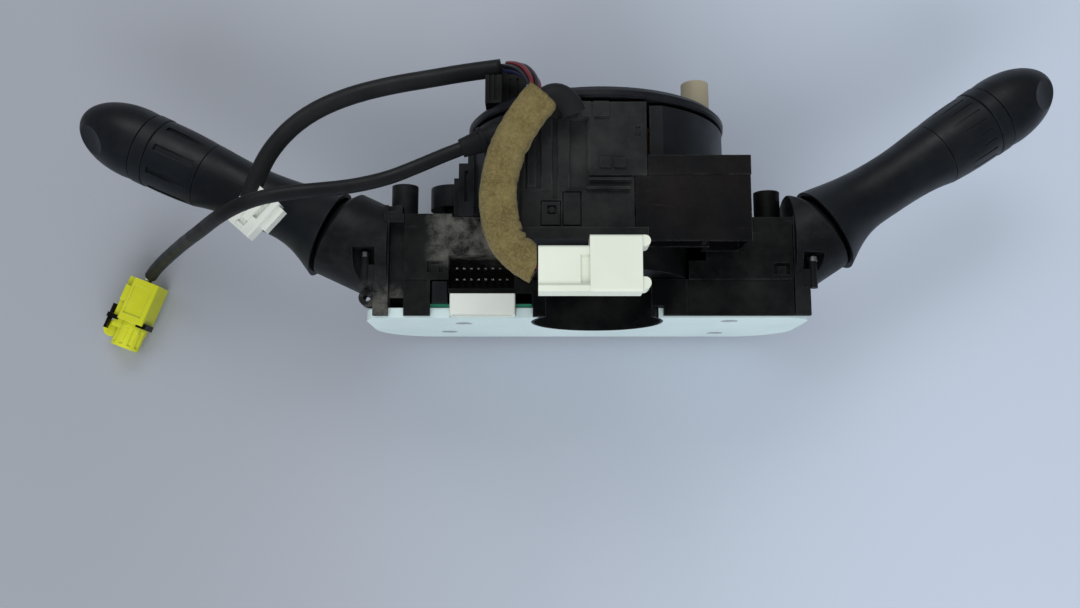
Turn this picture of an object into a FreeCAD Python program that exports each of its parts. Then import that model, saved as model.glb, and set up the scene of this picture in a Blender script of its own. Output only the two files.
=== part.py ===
import FreeCAD, Part
import math
import os

V = FreeCAD.Vector

# Steering column switch module: two stalk switches, a spiral cable unit with its harness
# and a base that carries the steering angle sensor.
# Y is the steering axis and points to the driver, Z points out of the harness side, and the
# stalks reach out along X. The origin is on the steering axis, in the outer face of the tray.

# Base and tray
column_r = 25.5            # bore for the column jacket
front_z = 15.0             # harness side of the base
disc_r = 52.3              # rotor disc, which rests on the same surface as the base
back_z = -disc_r
base_left = -76.6
base_right = 76.8
base_top = 40.0
left_top = 41.4            # the base is a little higher over its left end
left_top_end = -57.8
left_top_back = 5.0
base_wall = 2.5
base_corner_r = 26.0
sleeve_wall = 2.0
spigot_wall = 0.8          # end of the sleeve, which passes through the tray
skirt_low = 0.7            # foot of the harness side wall, in front of the tray's rim
ear_right = 34.7           # scuffed ear beside the column sleeve
well_r = 45.0              # round well that takes the sensor and the foot of the spiral cable
well_floor = 15.0
tray_left = -92.6
tray_right = 84.4
tray_back_z = -46.0
tray_height = 4.0
tray_floor = 1.8
tray_wall = 1.6
tray_corner_r = 24.0
tray_front_r = 10.0
face_gap = 0.3             # gap between neighbouring pieces that only face each other
fit_gap = 0.05             # radial clearance of a turning fit
board_thick = 1.6
header_left, header_right = -58.2, -32.7
header_top = 8.8
header_reach = 3.0
header_back_z = 11.0
header_low = 0.6
header_pin_low = 5.2
header_wall = 1.1
header_mouth_top = 7.6
relay_left, relay_right = -65.6, -59.4
relay_top = 14.2
relay_deep = 12.0
window_left, window_right = -66.2, -26.2
window_top = 9.4
pocket_left, pocket_right = -59.0, -33.0
pocket_low, pocket_high = 11.2, 24.6
pocket_depth = 12.0
pocket_wall = 1.2
tray_screw_r = 1.5
tray_screw_head_r = 3.2
tray_screw_end = 15.0
pillar_r = 3.6
seam_y = 15.0               # seam between the upper housing and its lower skirt
skirt_step = 0.6

# Spiral cable unit
stator_r = 51.6
stator_wall = 2.0
stator_flat_z = 46.4       # front flat behind the ribbed cover
stator_top = 74.9
spigot_r = well_r - 0.6    # the spigot that seats the spiral cable in the well
spigot_depth = 3.0
stator_bore_r = 25.2
lug_r = 9.4
lug_reach = 58.4
lug_low, lug_high = 46.0, 55.0
lug_angles = (180.0, -37.0)
lug_hole_r = 2.2
disc_thick = 5.6
hub_r = 23.5
hub_bore_r = 20.0
hub_foot = 17.6
collar_height = 3.4
collar_width = 4.0
ribbon_thick = 0.5
ribbon_low, ribbon_high = 45.5, 71.0
ribbon_turns = 5
ribbon_pitch = 2.2
cover_left, cover_right = -31.0, 11.4
cover_low = 22.9
cover_z = 50.0
cover_wall = 2.0
cover_relief = 1.3
slot_width = 0.5
# sunk fields between the cover's ribs, as left, right, low, high
cover_sunk = ((-28.6, -27.6, 42.0, 72.0), (-24.5, -22.6, 42.0, 70.0), (-18.4, -16.6, 38.0, 69.6),
              (-12.2, -5.6, 41.4, 68.6))
cover_tongues = ((-22.4, -15.8, 28.6, 37.2), (-14.4, -8.4, 28.6, 40.6))
cover_square = (-18.7, 34.2)
# raised fields of the cover, as left, right, low, high, rise
cover_raised = ((-5.2, 16.1, 46.9, 74.9, 0.7), (-5.2, 10.4, 44.9, 45.9, 1.5), (-6.2, 9.8, 41.6, 42.6, 1.5),
                (-9.2, -4.4, 69.0, 74.9, 1.4), (-3.4, 2.4, 69.0, 74.9, 1.6), (-1.2, 3.0, 49.8, 53.8, 1.3),
                (4.0, 8.2, 49.8, 53.4, 1.6), (-27.4, -24.7, 43.0, 62.6, 0.4),
                (-22.4, -18.6, 41.4, 69.4, 0.4),
                (-16.4, -12.4, 41.6, 68.8, 0.4))
cover_notch = (11.8, 13.9, 61.8, 65.6)
cover_panel_right = 16.2
ledge_height = 4.4
ledge_step = 1.4
plug_box_right = 54.0
plug_box_low, plug_box_high = 22.7, 54.6
plug_box_z = 50.4
plug_box_back = 37.9
plug_box_wall = 1.8
box_band = 7.2
plug_box_deep_left = 38.0
plug_box_deep_z = 30.0
socket_depth = 15.0
contact_size = 0.9
tower_left, tower_right = -44.2, -28.3
tower_back, tower_front = 18.0, 33.0
tower_wall = 2.2
tower_face_z = 26.0         # front of the tower's tall panel, behind the tube's end
tower_top = 99.4
drive_pin_x, drive_pin_z = 38.8, 19.0
drive_pin_r = 5.5
drive_pin_top = 93.6

# Steering angle sensor
sensor_r = 37.0
sensor_low = well_floor + face_gap
sensor_high = 27.0
sensor_wall = 1.5
lobe_half = 25.0
lobe_reach = 43.8
gear_module = 0.8
ring_teeth = 65
gear_a_teeth = 16
gear_b_teeth = 18
gear_thick = 4.0
gear_low = sensor_low + sensor_wall + 0.8
gear_a_angle = -112.0
gear_b_angle = -66.0
axle_r = 1.6
mesh_play = 0.16
cam_lift = 3.0

# Stalks, each built along its own axis from its pivot and then placed
left_pivot = (-87.0, 25.5)
right_pivot = (73.5, 24.2)
left_angle = 25.0
right_angle = 33.5
rim_s = 24.3
dome_r = 18.6
dome_lift = 2.4
dome_sphere_r = 28.0
dome_wall = 2.4
mouth_r = 10.6
neck_stations = ((0.0, 0.4, 18.3), (8.4, 1.8, 15.2), (17.5, 2.4, 12.9), (28.0, 2.1, 12.1),
                 (39.0, 1.9, 12.0), (47.5, 1.8, 12.5), (56.6, 1.3, 13.7))
skirt_wall = 1.5
skirt_depth = 13.0
grip_lift = 1.2
seam = 0.35
ring_length = 22.2
ring_r0, ring_r1 = 13.7, 14.6
collar_length = 5.6
collar_r = 14.9
cap_length = 30.0
cap_straight = 4.6         # where the cap's rounding starts
facet_r = 60.0             # the thumb rest is a wide hollow
facet_place = 12.0
facet_depth = 12.6
left_facet = (0.42, -0.62, 0.66)
right_facet = (0.50, -0.40, 0.77)
spindle_r = 6.0
arm_r = 4.4
root_r = 4.2
root_half = 3.7
pivot_pin_r = 1.5
yoke_half_x, yoke_half_y, yoke_half_z = 5.4, 8.0, 6.0
yoke_clear = 3.3           # room that the tilting lever leaves in front of the yoke's cheeks
trunnion_r = 2.6
trunnion_length = 3.4
cavity_r = 8.6
plunger_r = 1.5
case_back_z = -40.0
case_front_z = 10.0
case_low, case_high = 8.4, 39.0
case_inner = 12.6
flange_low, flange_high = 4.3, 40.6
left_flange = (82.7, 88.6)  # inner face and foot of the outer face, as distances from the axis
right_flange = (77.1, 83.2)
flange_taper = 3.8         # how far the outer face leans in at its top
left_screw = (92.2, 25.0)
right_screw = (84.8, 23.2)
screw_z = 15.5
screw_sink = 2.4
screw_pocket_r = 4.4
screw_pocket_deep = 11.0
screw_head_r = 2.0
boss_r = 5.35
boss_top = 55.0
boss_hole_r = 2.1
boss_hole_depth = 12.0
latch_places = ((-64.3, 20.1), (72.2, 19.2))
left_boss = (-77.9, 4.6)
right_boss = (71.3, -5.0)

# Harness
thick_r = 3.5
thin_r = 2.75
bundle_r = 2.6
grommet_sleeve = 4.0
grommet_root = 6.0
felt_width = 13.8
felt_thick = 9.4
felt_start = (-21.8, 74.6, disc_r + 5.9)
felt_z = disc_r + 5.9       # the felt lies in front of the disc's rim
elbow_r = 4.6
# route of the elbow, with its height over the disc's rim last
elbow_route = ((-22.6, 72.0, 5.6), (-17.6, 75.0, 5.8), (-12.8, 73.0, 4.6), (-10.8, 68.6, 3.0))
ivory_left, ivory_step, ivory_right = -23.6, -5.2, 15.7
ivory_low, ivory_high = 1.8, 22.0
ivory_rise = 3.6
ivory_ear = 3.0
ivory_z = (53.0, 64.0)
white_length, white_width, white_thick = 17.8, 11.6, 8.0
white_turn = 49.0
yellow_body = 19.0
yellow_length = 30.5
yellow_lobe_r = 6.2
yellow_turn = 69.0

# Route of the thick tube, from the guide on the rotor to the white plug
thick_route = ((-38.2, 96.1, 30.0), (-51.2, 94.2, 30.4), (-64.8, 91.4, 31.2), (-79.6, 88.7, 31.6),
               (-94.6, 84.9, 31.8), (-108.6, 79.4, 31.2), (-119.2, 72.0, 30.6), (-127.4, 62.6, 29.6),
               (-132.2, 52.8, 28.4), (-135.4, 44.0, 27.6))

# Route of the thin cable, from the grommet on the stator, over the stalk, down to the yellow plug
thin_route = ((-49.6, 64.9, 30.0), (-58.4, 61.3, 30.6), (-69.0, 56.1, 32.0), (-80.7, 50.3, 34.6),
              (-93.6, 46.1, 38.4), (-105.6, 43.8, 42.0), (-116.2, 42.3, 44.0), (-127.8, 40.0, 44.2),
              (-137.3, 37.2, 41.0), (-146.8, 34.9, 32.0), (-156.5, 33.6, 18.0), (-167.4, 32.9, 2.0),
              (-178.2, 31.8, -14.6), (-187.4, 30.2, -28.0), (-194.8, 27.4, -37.6), (-199.0, 23.9, -43.0))

# Route of the bundle inside the felt sleeve, from the end of the thick tube to the ivory plug
bundle_route = ((-35.6, 95.4, 32.0), (-31.8, 93.0, 38.6), (-27.4, 87.6, 46.4), (-24.2, 79.2, 54.0),
                (-26.8, 68.8, 58.4), (-33.0, 58.6, 58.0), (-37.2, 47.2, 58.4), (-38.2, 35.4, 58.0),
                (-36.4, 24.4, 58.4), (-31.2, 15.4, 58.0), (-23.4, 11.8, 58.2))


def box(x0, x1, y0, y1, z0, z1):
    return Part.makeBox(x1 - x0, y1 - y0, z1 - z0, V(x0, y0, z0))


def rod_y(x, z, r, y0, y1):
    return Part.makeCylinder(r, y1 - y0, V(x, y0, z), V(0, 1, 0))


def rod_z(x, y, r, z0, z1):
    return Part.makeCylinder(r, z1 - z0, V(x, y, z0), V(0, 0, 1))


def rod_x(y, z, r, x0, x1):
    return Part.makeCylinder(r, x1 - x0, V(x0, y, z), V(1, 0, 0))


def tube_y(r_in, r_out, y0, y1):
    return rod_y(0, 0, r_out, y0, y1).cut(rod_y(0, 0, r_in, y0 - 1, y1 + 1))


def prism_y(points, y0, y1):
    corners = [V(x, y0, z) for x, z in points]
    face = Part.Face(Part.makePolygon(corners + corners[:1]))
    return face.extrude(V(0, y1 - y0, 0))


def prism_z(points, z0, z1):
    corners = [V(x, y, z0) for x, y in points]
    face = Part.Face(Part.makePolygon(corners + corners[:1]))
    return face.extrude(V(0, 0, z1 - z0))


def revolve_y(points):
    corners = [V(r, y, 0) for r, y in points]
    face = Part.Face(Part.makePolygon(corners + corners[:1]))
    return face.revolve(V(0, 0, 0), V(0, 1, 0), 360)


def revolve_x(points, lift=0.0):
    corners = [V(s, lift + r, 0) for s, r in points]
    face = Part.Face(Part.makePolygon(corners + corners[:1]))
    return face.revolve(V(0, lift, 0), V(1, 0, 0), 360)


def edges_along(shape, axis, test):
    """Straight edges parallel to the axis whose middle passes the test."""
    found = []
    for edge in shape.Edges:
        if isinstance(edge.Curve, Part.Line) and abs(edge.Curve.Direction.dot(axis)) > 0.999:
            if test(edge.CenterOfMass):
                found.append(edge)
    return found


def rounded(shape, radius, axis, test=lambda p: True):
    return shape.makeFillet(radius, edges_along(shape, axis, test))


def one(shape):
    """The shape with its split faces joined where that is sound, as one solid where it is one."""
    joined = shape.copy().removeSplitter()
    if all(solid.isValid() for solid in joined.Solids):
        shape = joined
    return shape.Solids[0] if len(shape.Solids) == 1 else shape


def save(name, shape):
    shape = one(shape)
    if not shape.isValid() or not shape.Solids:
        raise RuntimeError(name + " is not a valid solid")
    shape.exportStep("parts/" + name + ".step")
    return shape


def at_angle(radius, degrees):
    a = math.radians(degrees)
    return radius * math.cos(a), radius * math.sin(a)


def base_outline(grow, y0, y1, top=front_z):
    """The base's outline seen along the steering axis, moved in by grow."""
    x0, x1 = base_left + grow, base_right - grow
    z0, z1 = back_z + grow, top
    block = box(x0, x1, y0, y1, z0, z1)
    return rounded(block, base_corner_r - grow, V(0, 1, 0), lambda p: p.z < z0 + 1)


def latch_window(x, y):
    """A framed latch window: the pocket and the tongue that stands in it."""
    width, height, depth = 6.4, 4.6, 1.4
    pocket = box(x - width / 2, x + width / 2, y - height / 2, y + height / 2, front_z - depth, front_z + 1)
    tongue = box(x - width / 4, x + width / 4, y - height / 2, y + height / 5, front_z - depth,
                 front_z - 0.3)
    return pocket, tongue


def bay_block(grow):
    """The part of the right switch case that slides into the base."""
    inner = right_pivot[0] - case_inner
    return box(inner - grow, base_right + 5, case_low - grow, case_high + grow,
               case_back_z - grow, case_front_z + grow)


def pocket_block(grow):
    """The block round the connector pocket, which also cuts the flat on the sensor's case."""
    return box(pocket_left - pocket_wall - grow, pocket_right + pocket_wall + grow,
               pocket_low - pocket_wall - grow, pocket_high + pocket_wall + grow,
               front_z - pocket_depth - pocket_wall - grow, front_z)


def ear_block():
    """Small block beside the column sleeve, on the harness side."""
    low = tray_height + face_gap
    return box(column_r - 4.0, ear_right, low, well_floor, front_z - 12, front_z)


def base_housing():
    low = tray_height + face_gap
    keep = base_outline(0, 0, base_top)
    body = base_outline(0, low, left_top)
    # only its front left corner is raised
    body = body.cut(box(left_top_end, base_right + 1, base_top, left_top + 1, -60, 60))
    body = body.cut(box(base_left - 1, left_top_end + 1, base_top, left_top + 1, -60, left_top_back))
    body = body.cut(base_outline(base_wall, low - 1, base_top - base_wall, front_z - base_wall))
    # the harness side wall reaches down in front of the tray's rim, except at the board's window
    for x0, x1 in ((base_left, window_left), (column_r, base_right)):
        body = body.fuse(box(x0, x1, skirt_low, low + 1, front_z - base_wall, front_z))
    bay = bay_block(base_wall + face_gap).common(box(-100, 100, board_top() + face_gap, base_top, -60, 60))
    pillars = [rod_y(x, z, pillar_r, board_top() + face_gap, base_top - base_wall) for x,
               z in tray_screw_places()]
    sleeve = rod_y(0, 0, column_r + sleeve_wall, low, well_floor)
    sleeve = sleeve.fuse(rod_y(0, 0, column_r + spigot_wall, 0, low + 1))
    sleeve = sleeve.fuse(box(window_right + 0.4, -column_r + 4, 0.2, well_floor, front_z - base_wall,
                             front_z))
    # closes the gap under the connector box, beside the sensor
    apron = box(sensor_r - 1.4, well_r + 2, well_floor - 1, plug_box_low - face_gap,
                front_z - base_wall, front_z)
    well = rod_y(0, 0, well_r + base_wall, well_floor - base_wall, base_top)
    for add in [sleeve, well, bay, ear_block()] + pillars:
        body = body.fuse(add.common(keep))
    body = body.cut(rod_y(0, 0, column_r, -1, base_top + 1))
    body = body.cut(rod_y(0, 0, well_r, well_floor, base_top + 1))
    body = body.fuse(pocket_block(0)).fuse(apron).cut(bay_block(face_gap))
    body = body.cut(box(pocket_left, pocket_right, pocket_low, pocket_high,
                        front_z - pocket_depth, front_z + 1))
    # window for the board's header, and the notch for the relay beside it
    body = body.cut(box(window_left, window_right, low - 1, window_top, front_z - base_wall - 1,
                        front_z + 1))
    body = body.cut(box(window_left, relay_right + face_gap, low - 1, relay_top + 0.6,
                        front_z - relay_deep - 1, front_z + 1))
    for x, y in latch_places:
        pocket, tongue = latch_window(x, y)
        body = body.cut(pocket).fuse(tongue)
    # the lower skirt stands back a little under the seam
    for x0, x1 in ((base_left - 1, window_left - 1.2), (ear_right, base_right + 1)):
        body = body.cut(box(x0, x1, 0, seam_y, front_z - skirt_step, front_z + 1))
    for x, z in tray_screw_places():
        body = body.cut(rod_y(x, z, tray_screw_r - 0.2, 0, tray_screw_end))
    # boss for the column shroud, on the right
    x, z = right_boss
    body = body.fuse(rod_y(x, z, boss_r, base_top, boss_top))
    return body.cut(rod_y(x, z, boss_hole_r, boss_top - boss_hole_depth, boss_top + 1))


def board_top():
    return tray_height + board_thick


def tray_screw_places():
    return ((-62.0, -30.0), (53.0, -34.0), (-54.0, -4.0), (53.0, 3.0))


def tray_outline(grow, y0, y1):
    x0, x1 = tray_left + grow, tray_right - grow
    z0, z1 = tray_back_z + grow, front_z - base_wall - face_gap - grow
    block = box(x0, x1, y0, y1, z0, z1)
    block = rounded(block, tray_corner_r - grow, V(0, 1, 0), lambda p: p.z < z0 + 1)
    block = rounded(block, tray_front_r - grow, V(0, 1, 0), lambda p: p.z > z1 - 1)
    return block


def pcb_tray():
    body = tray_outline(0, 0, tray_height).cut(tray_outline(tray_wall, tray_floor, tray_height + 1))
    hole_r = column_r + spigot_wall + face_gap
    rim = rod_y(0, 0, hole_r + tray_wall, 0, tray_height).common(tray_outline(0, 0, tray_height))
    body = body.fuse(rim)
    for x, z in tray_screw_places():
        body = body.fuse(rod_y(x, z, tray_screw_head_r + 1.2, 0, tray_height))
        body = body.cut(rod_y(x, z, tray_screw_r + 0.2, -1, tray_height + 1))
        body = body.cut(rod_y(x, z, tray_screw_head_r + 0.2, -1, tray_floor))
    body = body.cut(rod_y(0, 0, hole_r, -1, tray_height + 1))
    # the tray is notched for the board's header, whose mouth opens at its foot
    return body.cut(box(header_left - face_gap, header_right + face_gap, -1, tray_height + 1,
                        header_back_z - face_gap, front_z + 1))


def circuit_board():
    inset = base_wall + face_gap
    body = base_outline(inset, tray_height, board_top(), front_z - inset)
    body = body.fuse(box(window_left + face_gap, window_right - face_gap, tray_height, board_top(),
                         front_z - inset - 1, front_z - 0.4))
    body = body.common(tray_outline(0.4, 0, board_top()))
    body = body.cut(rod_y(0, 0, column_r + sleeve_wall + face_gap, 0, board_top() + 1))
    ear = ear_block().BoundBox
    body = body.cut(box(ear.XMin - face_gap, ear.XMax + face_gap, 0, board_top() + 1,
                        ear.ZMin - face_gap, front_z + 1))
    for x, z in tray_screw_places():
        body = body.cut(rod_y(x, z, tray_screw_r + 0.3, 0, board_top() + 1))
    return body.cut(box(header_left - face_gap, header_right + face_gap, 0, board_top() + 1,
                        header_back_z - face_gap, front_z + 1))


def board_header():
    """Shrouded header on the edge of the board: a plain face to the harness side, its mouth at the foot."""
    body = box(header_left, header_right, header_low, header_top, header_back_z, front_z + header_reach)
    body = rounded(body, 0.7, V(0, 1, 0))
    shelf = box(header_left + 1, header_right - 1, board_top() + 0.05, header_top,
                header_back_z - 4, header_back_z + 1)
    mouth = box(header_left + header_wall, header_right - header_wall, header_low - 1, header_mouth_top,
                header_back_z + header_wall, front_z + header_reach - header_wall)
    return body.fuse(shelf).cut(mouth)


def header_pins():
    pins = []
    count = 9
    pitch = (header_right - header_left - 5.0) / (count - 1)
    middle = (header_back_z + front_z + header_reach) / 2
    for z in (middle - 1.2, middle + 1.2):
        for i in range(count):
            x = header_left + 2.5 + i * pitch
            pins.append(box(x - 0.3, x + 0.3, header_pin_low, header_mouth_top, z - 0.3, z + 0.3))
    return Part.makeCompound(pins)


def board_relay():
    body = box(relay_left, relay_right, board_top(), relay_top, front_z - relay_deep, front_z - 0.6)
    return rounded(body, 0.5, V(0, 1, 0))


def pocket_contacts():
    pins = []
    bottom = front_z - pocket_depth
    for row in (1, 2):
        y = pocket_low + row * (pocket_high - pocket_low) / 3
        for i in range(8):
            x = pocket_left + 3.0 + i * (pocket_right - pocket_left - 6.0) / 7
            pins.append(box(x - 0.5, x + 0.5, y - 0.3, y + 0.3, bottom, bottom + 7.0))
    return Part.makeCompound(pins)


def tray_screws():
    screws = []
    for x, z in tray_screw_places():
        head = rod_y(x, z, tray_screw_head_r, 0.2, tray_floor)
        screws.append(head.fuse(rod_y(x, z, tray_screw_r - 0.2, tray_floor - 0.5, tray_screw_end)))
    return Part.makeCompound(screws)


def stator_body():
    floor = base_top + face_gap
    inner = stator_r - stator_wall
    profile = ((stator_bore_r, floor), (spigot_r - 2, floor), (spigot_r - 2, floor - spigot_depth),
               (spigot_r, floor - spigot_depth), (spigot_r, floor), (stator_r, floor),
               (stator_r, stator_top),
               (inner, stator_top), (inner, floor + 2.5), (stator_bore_r + 1.8, floor + 2.5),
               (stator_bore_r + 1.8, floor + 9), (stator_bore_r, floor + 9))
    body = revolve_y(profile).common(box(-60, 60, 0, stator_top + 1, -60, stator_flat_z))
    clear = rod_y(0, 0, inner, floor, stator_top + 1)
    for angle in lug_angles:
        x, z = at_angle(lug_reach, angle)
        nx, nz = at_angle(inner, angle)
        lug = rod_y(x, z, lug_r, lug_low, lug_high)
        foot = rod_y(x, z, 4.4, floor, lug_low)
        web = Part.makeBox(lug_reach + 2 - inner, lug_high - lug_low - 2, 12, V(0, lug_low, -6))
        web.rotate(V(0, 0, 0), V(0, 1, 0), -angle)
        web.translate(V(nx, 0, nz))
        body = body.fuse(lug.fuse(foot).fuse(web).cut(clear))
        body = body.cut(rod_y(x, z, lug_hole_r, floor - 1, lug_high + 1))
        body = body.cut(rod_y(x, z, 4.6, lug_high - 3.4, lug_high + 1))
    # upright clip rail and its stub beside the harness
    rail = box(-55.4, -46.0, floor, 62.0, 8.0, 15.0).fuse(box(-51.8, -46.0, 60.0, 66.6, 8.0, 15.0))
    rail = rail.fuse(box(-57.4, -54.0, floor, 56.4, 9.0, 13.0))
    rail = rail.cut(box(-53.0, -51.6, floor + 6, 59.0, 13.6, 16.0))
    return body.fuse(rail.cut(clear))


def stator_room():
    """The space that the stator and its spigot take, which the pieces in front of it leave free."""
    drum = rod_y(0, 0, stator_r + face_gap, base_top, stator_top + 1)
    spigot = rod_y(0, 0, spigot_r + face_gap, base_top - spigot_depth, base_top + 1)
    return drum.fuse(spigot).common(box(-60, 60, 0, stator_top + 1, -60, stator_flat_z + face_gap))


def lug_screws():
    screws = []
    for angle in lug_angles:
        x, z = at_angle(lug_reach, angle)
        head = rod_y(x, z, 4.0, lug_high - 3.4, lug_high - 0.6)
        head = head.cut(box(x - 3, x + 3, lug_high - 1.6, lug_high, z - 0.5, z + 0.5))
        head = head.cut(box(x - 0.5, x + 0.5, lug_high - 1.6, lug_high, z - 3, z + 3))
        screws.append(head.fuse(rod_y(x, z, lug_hole_r - 0.2, base_top + face_gap, lug_high - 3.4)))
    return Part.makeCompound(screws)


def ribbed_cover():
    """Front cover over the ribbon's connection, with its ribs, clip tongues and bottom ledge."""
    high = stator_top
    body = box(cover_left, cover_right, cover_low, high, front_z + face_gap, cover_z)
    body = rounded(body, 1.6, V(0, 1, 0), lambda p: p.z > cover_z - 1 and p.x < cover_left + 1)
    inside = box(cover_left + cover_wall, cover_right - cover_wall, cover_low + cover_wall,
                 high - cover_wall,
                 front_z - 1, cover_z - cover_wall)
    body = body.cut(inside)
    body = body.fuse(box(cover_right - 1, cover_panel_right, plug_box_high + face_gap, high,
                         stator_flat_z, cover_z - 0.3))
    ledge = box(cover_left, cover_panel_right, cover_low, cover_low + ledge_height,
                plug_box_z + face_gap, plug_box_z + face_gap + ledge_step)
    ledge = ledge.fuse(box(cover_left, cover_right, cover_low, cover_low + ledge_height,
                           cover_z - 1, plug_box_z + face_gap + 0.2))
    body = body.fuse(ledge)
    for x0, x1, y0, y1 in cover_sunk:
        body = body.cut(box(x0, x1, y0, y1, cover_z - cover_relief, cover_z + 2))
    # two clip tongues, each outlined by a slot
    for x0, x1, y0, y1 in cover_tongues:
        outline = box(x0 - slot_width, x1 + slot_width, y0 - slot_width, y1 + slot_width,
                      cover_z - cover_relief, cover_z + 1)
        body = body.cut(outline.cut(box(x0, x1, y0, y1, cover_z - 2, cover_z + 2)))
    # square pocket of the first tongue, with its round stud
    x, y = cover_square
    body = body.cut(box(x - 1.7, x + 1.7, y - 1.7, y + 1.7, cover_z - cover_relief, cover_z + 1))
    body = body.fuse(rod_z(x, y, 1.1, cover_z - cover_relief - 0.2, cover_z - 0.2))
    # stepped panel, its ridges and the blocks at the top
    for x0, x1, y0, y1, rise in cover_raised:
        body = body.fuse(box(x0, x1, y0, y1, cover_z - 0.5, cover_z + rise))
    body = body.cut(box(*cover_notch, cover_z, cover_z + 2))
    # room for the stator's round wall above, and for the sensor below
    body = body.cut(stator_room())
    return body.cut(rod_y(0, 0, sensor_r + face_gap + 0.2, cover_low - 1, base_top - spigot_depth))


def box_outline(wall):
    """Section of the connector box: flat and wide, deeper at its right end."""
    left = cover_right + face_gap
    return ((left + wall, plug_box_back + wall), (plug_box_deep_left + wall, plug_box_back + wall),
            (plug_box_deep_left + wall, plug_box_deep_z + wall),
            (plug_box_right - wall, plug_box_deep_z + wall),
            (plug_box_right - wall, plug_box_z - wall), (left + wall, plug_box_z - wall))


def connector_box():
    body = prism_y(box_outline(0), plug_box_low, plug_box_high)
    shoulder = box(cover_right + face_gap, plug_box_right, base_top + face_gap, plug_box_high,
                   front_z + 6, plug_box_z)
    body = body.fuse(shoulder)
    body = rounded(body, 0.8, V(0, 1, 0), lambda p: p.z > plug_box_z - 0.1 and p.x > 40)
    body = body.cut(prism_y(box_outline(plug_box_wall), plug_box_low - 1, plug_box_low + socket_depth))
    web_x = plug_box_deep_left - 1.0
    body = body.fuse(box(web_x, web_x + 1.6, plug_box_low + 1.0, plug_box_low + socket_depth + 0.5,
                         plug_box_back + 1, plug_box_z - 1))
    # raised band along the top of the face
    band = box(cover_panel_right + face_gap, plug_box_right, plug_box_high - box_band, plug_box_high,
               plug_box_z - 0.5, plug_box_z + 0.5)
    body = body.fuse(band)
    # the cover's raised panel laps over its upper left corner
    body = body.cut(box(cover_right, cover_panel_right + face_gap, cover_raised[0][2] - face_gap,
                        plug_box_high + 1,
                        cover_z - 0.8, plug_box_z + 2))
    return body.cut(stator_room())


def box_contacts():
    pins = []
    root = plug_box_low + socket_depth
    for z in (42.4, 46.0):
        for i in range(7):
            x = cover_right + 5.0 + i * 2.9
            pins.append(box(x, x + contact_size, root - 9.0, root, z, z + 0.6))
        for i in range(4):
            x = plug_box_deep_left + 3.6 + i * 2.6
            pins.append(box(x, x + contact_size, root - 9.0, root, z - 4.0, z - 3.4))
    return Part.makeCompound(pins)


def rotor_disc():
    low = stator_top + 0.4
    high = low + disc_thick
    ring_out = hub_r + collar_width
    profile = ((hub_r, low), (disc_r - 6, low), (disc_r - 6, low + 1.2), (disc_r - 0.6, low + 1.2),
               (disc_r, low + 2.0),
               (disc_r, high - 1.8), (disc_r - 1.8, high), (ring_out, high),
               (ring_out, high + collar_height),
               (hub_r, high + collar_height))
    body = revolve_y(profile)
    # shallow lightening pockets between the ribs of the top face
    for i in range(6):
        if i in (2, 5):
            continue
        a = 25 + 60 * i
        x, z = at_angle(38.5, -a)
        body = body.cut(rod_y(x, z, 6.2, high - 1.6, high + 1))
    return body


def disc_top():
    return stator_top + 0.4 + disc_thick


def rotor_hub():
    body = tube_y(hub_bore_r, hub_r, hub_foot, disc_top() + collar_height - 1.0)
    # two keyways that the steering wheel's boss drives
    for side in (-1, 1):
        body = body.cut(box(-2.0, 2.0, disc_top() - 3, disc_top() + 5,
                            side * hub_bore_r - 1.6, side * hub_bore_r + 1.6))
    return body


def cable_guide():
    """Tower on the rotor that carries the end of the thick tube: a grooved post and a tall panel."""
    low = disc_top()
    tube_end, tube_y, tube_z = thick_route[0]
    seat = tube_y - thick_r - face_gap
    post = box(tower_left, tube_end + 0.4, low, seat, tower_back, tower_front)
    for x in (tower_left + 1.6, tower_left + 3.6):
        post = post.cut(box(x, x + 0.9, low + 1, seat + 1, tower_front - 0.9, tower_front + 1))
    panel = prism_z(((tube_end - 1.4, low), (tower_right, low), (tower_right, tower_top - 2.0),
                     (tube_end + 2.0, tower_top), (tube_end - 1.4, tower_top)), tower_back, tower_face_z)
    hollow = box(tube_end - 1.4 + tower_wall, tower_right - tower_wall, low + 2.0, tower_top + 1,
                 tower_back - 1, tower_face_z - tower_wall)
    panel = panel.cut(hollow)
    for x in (tube_end + 3.0, tube_end + 6.0):
        panel = panel.cut(box(x, x + 0.8, low + 1, seat + 1, tower_face_z - 0.7, tower_face_z + 1))
    cheek = box(tower_right - tower_wall, tower_right, low, low + 6.0, tower_back, tower_front - 3)
    return post.fuse(panel).fuse(cheek).cut(cord_tube(thick_route, thick_r + face_gap))


def drive_pin():
    low = disc_top()
    body = rod_y(drive_pin_x, drive_pin_z, drive_pin_r, low, drive_pin_top)
    body = body.makeFillet(0.8, [e for e in body.Edges if abs(e.CenterOfMass.y - drive_pin_top) < 0.01])
    return body.cut(rod_y(drive_pin_x, drive_pin_z, 2.6, drive_pin_top - 8, drive_pin_top + 1))


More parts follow.
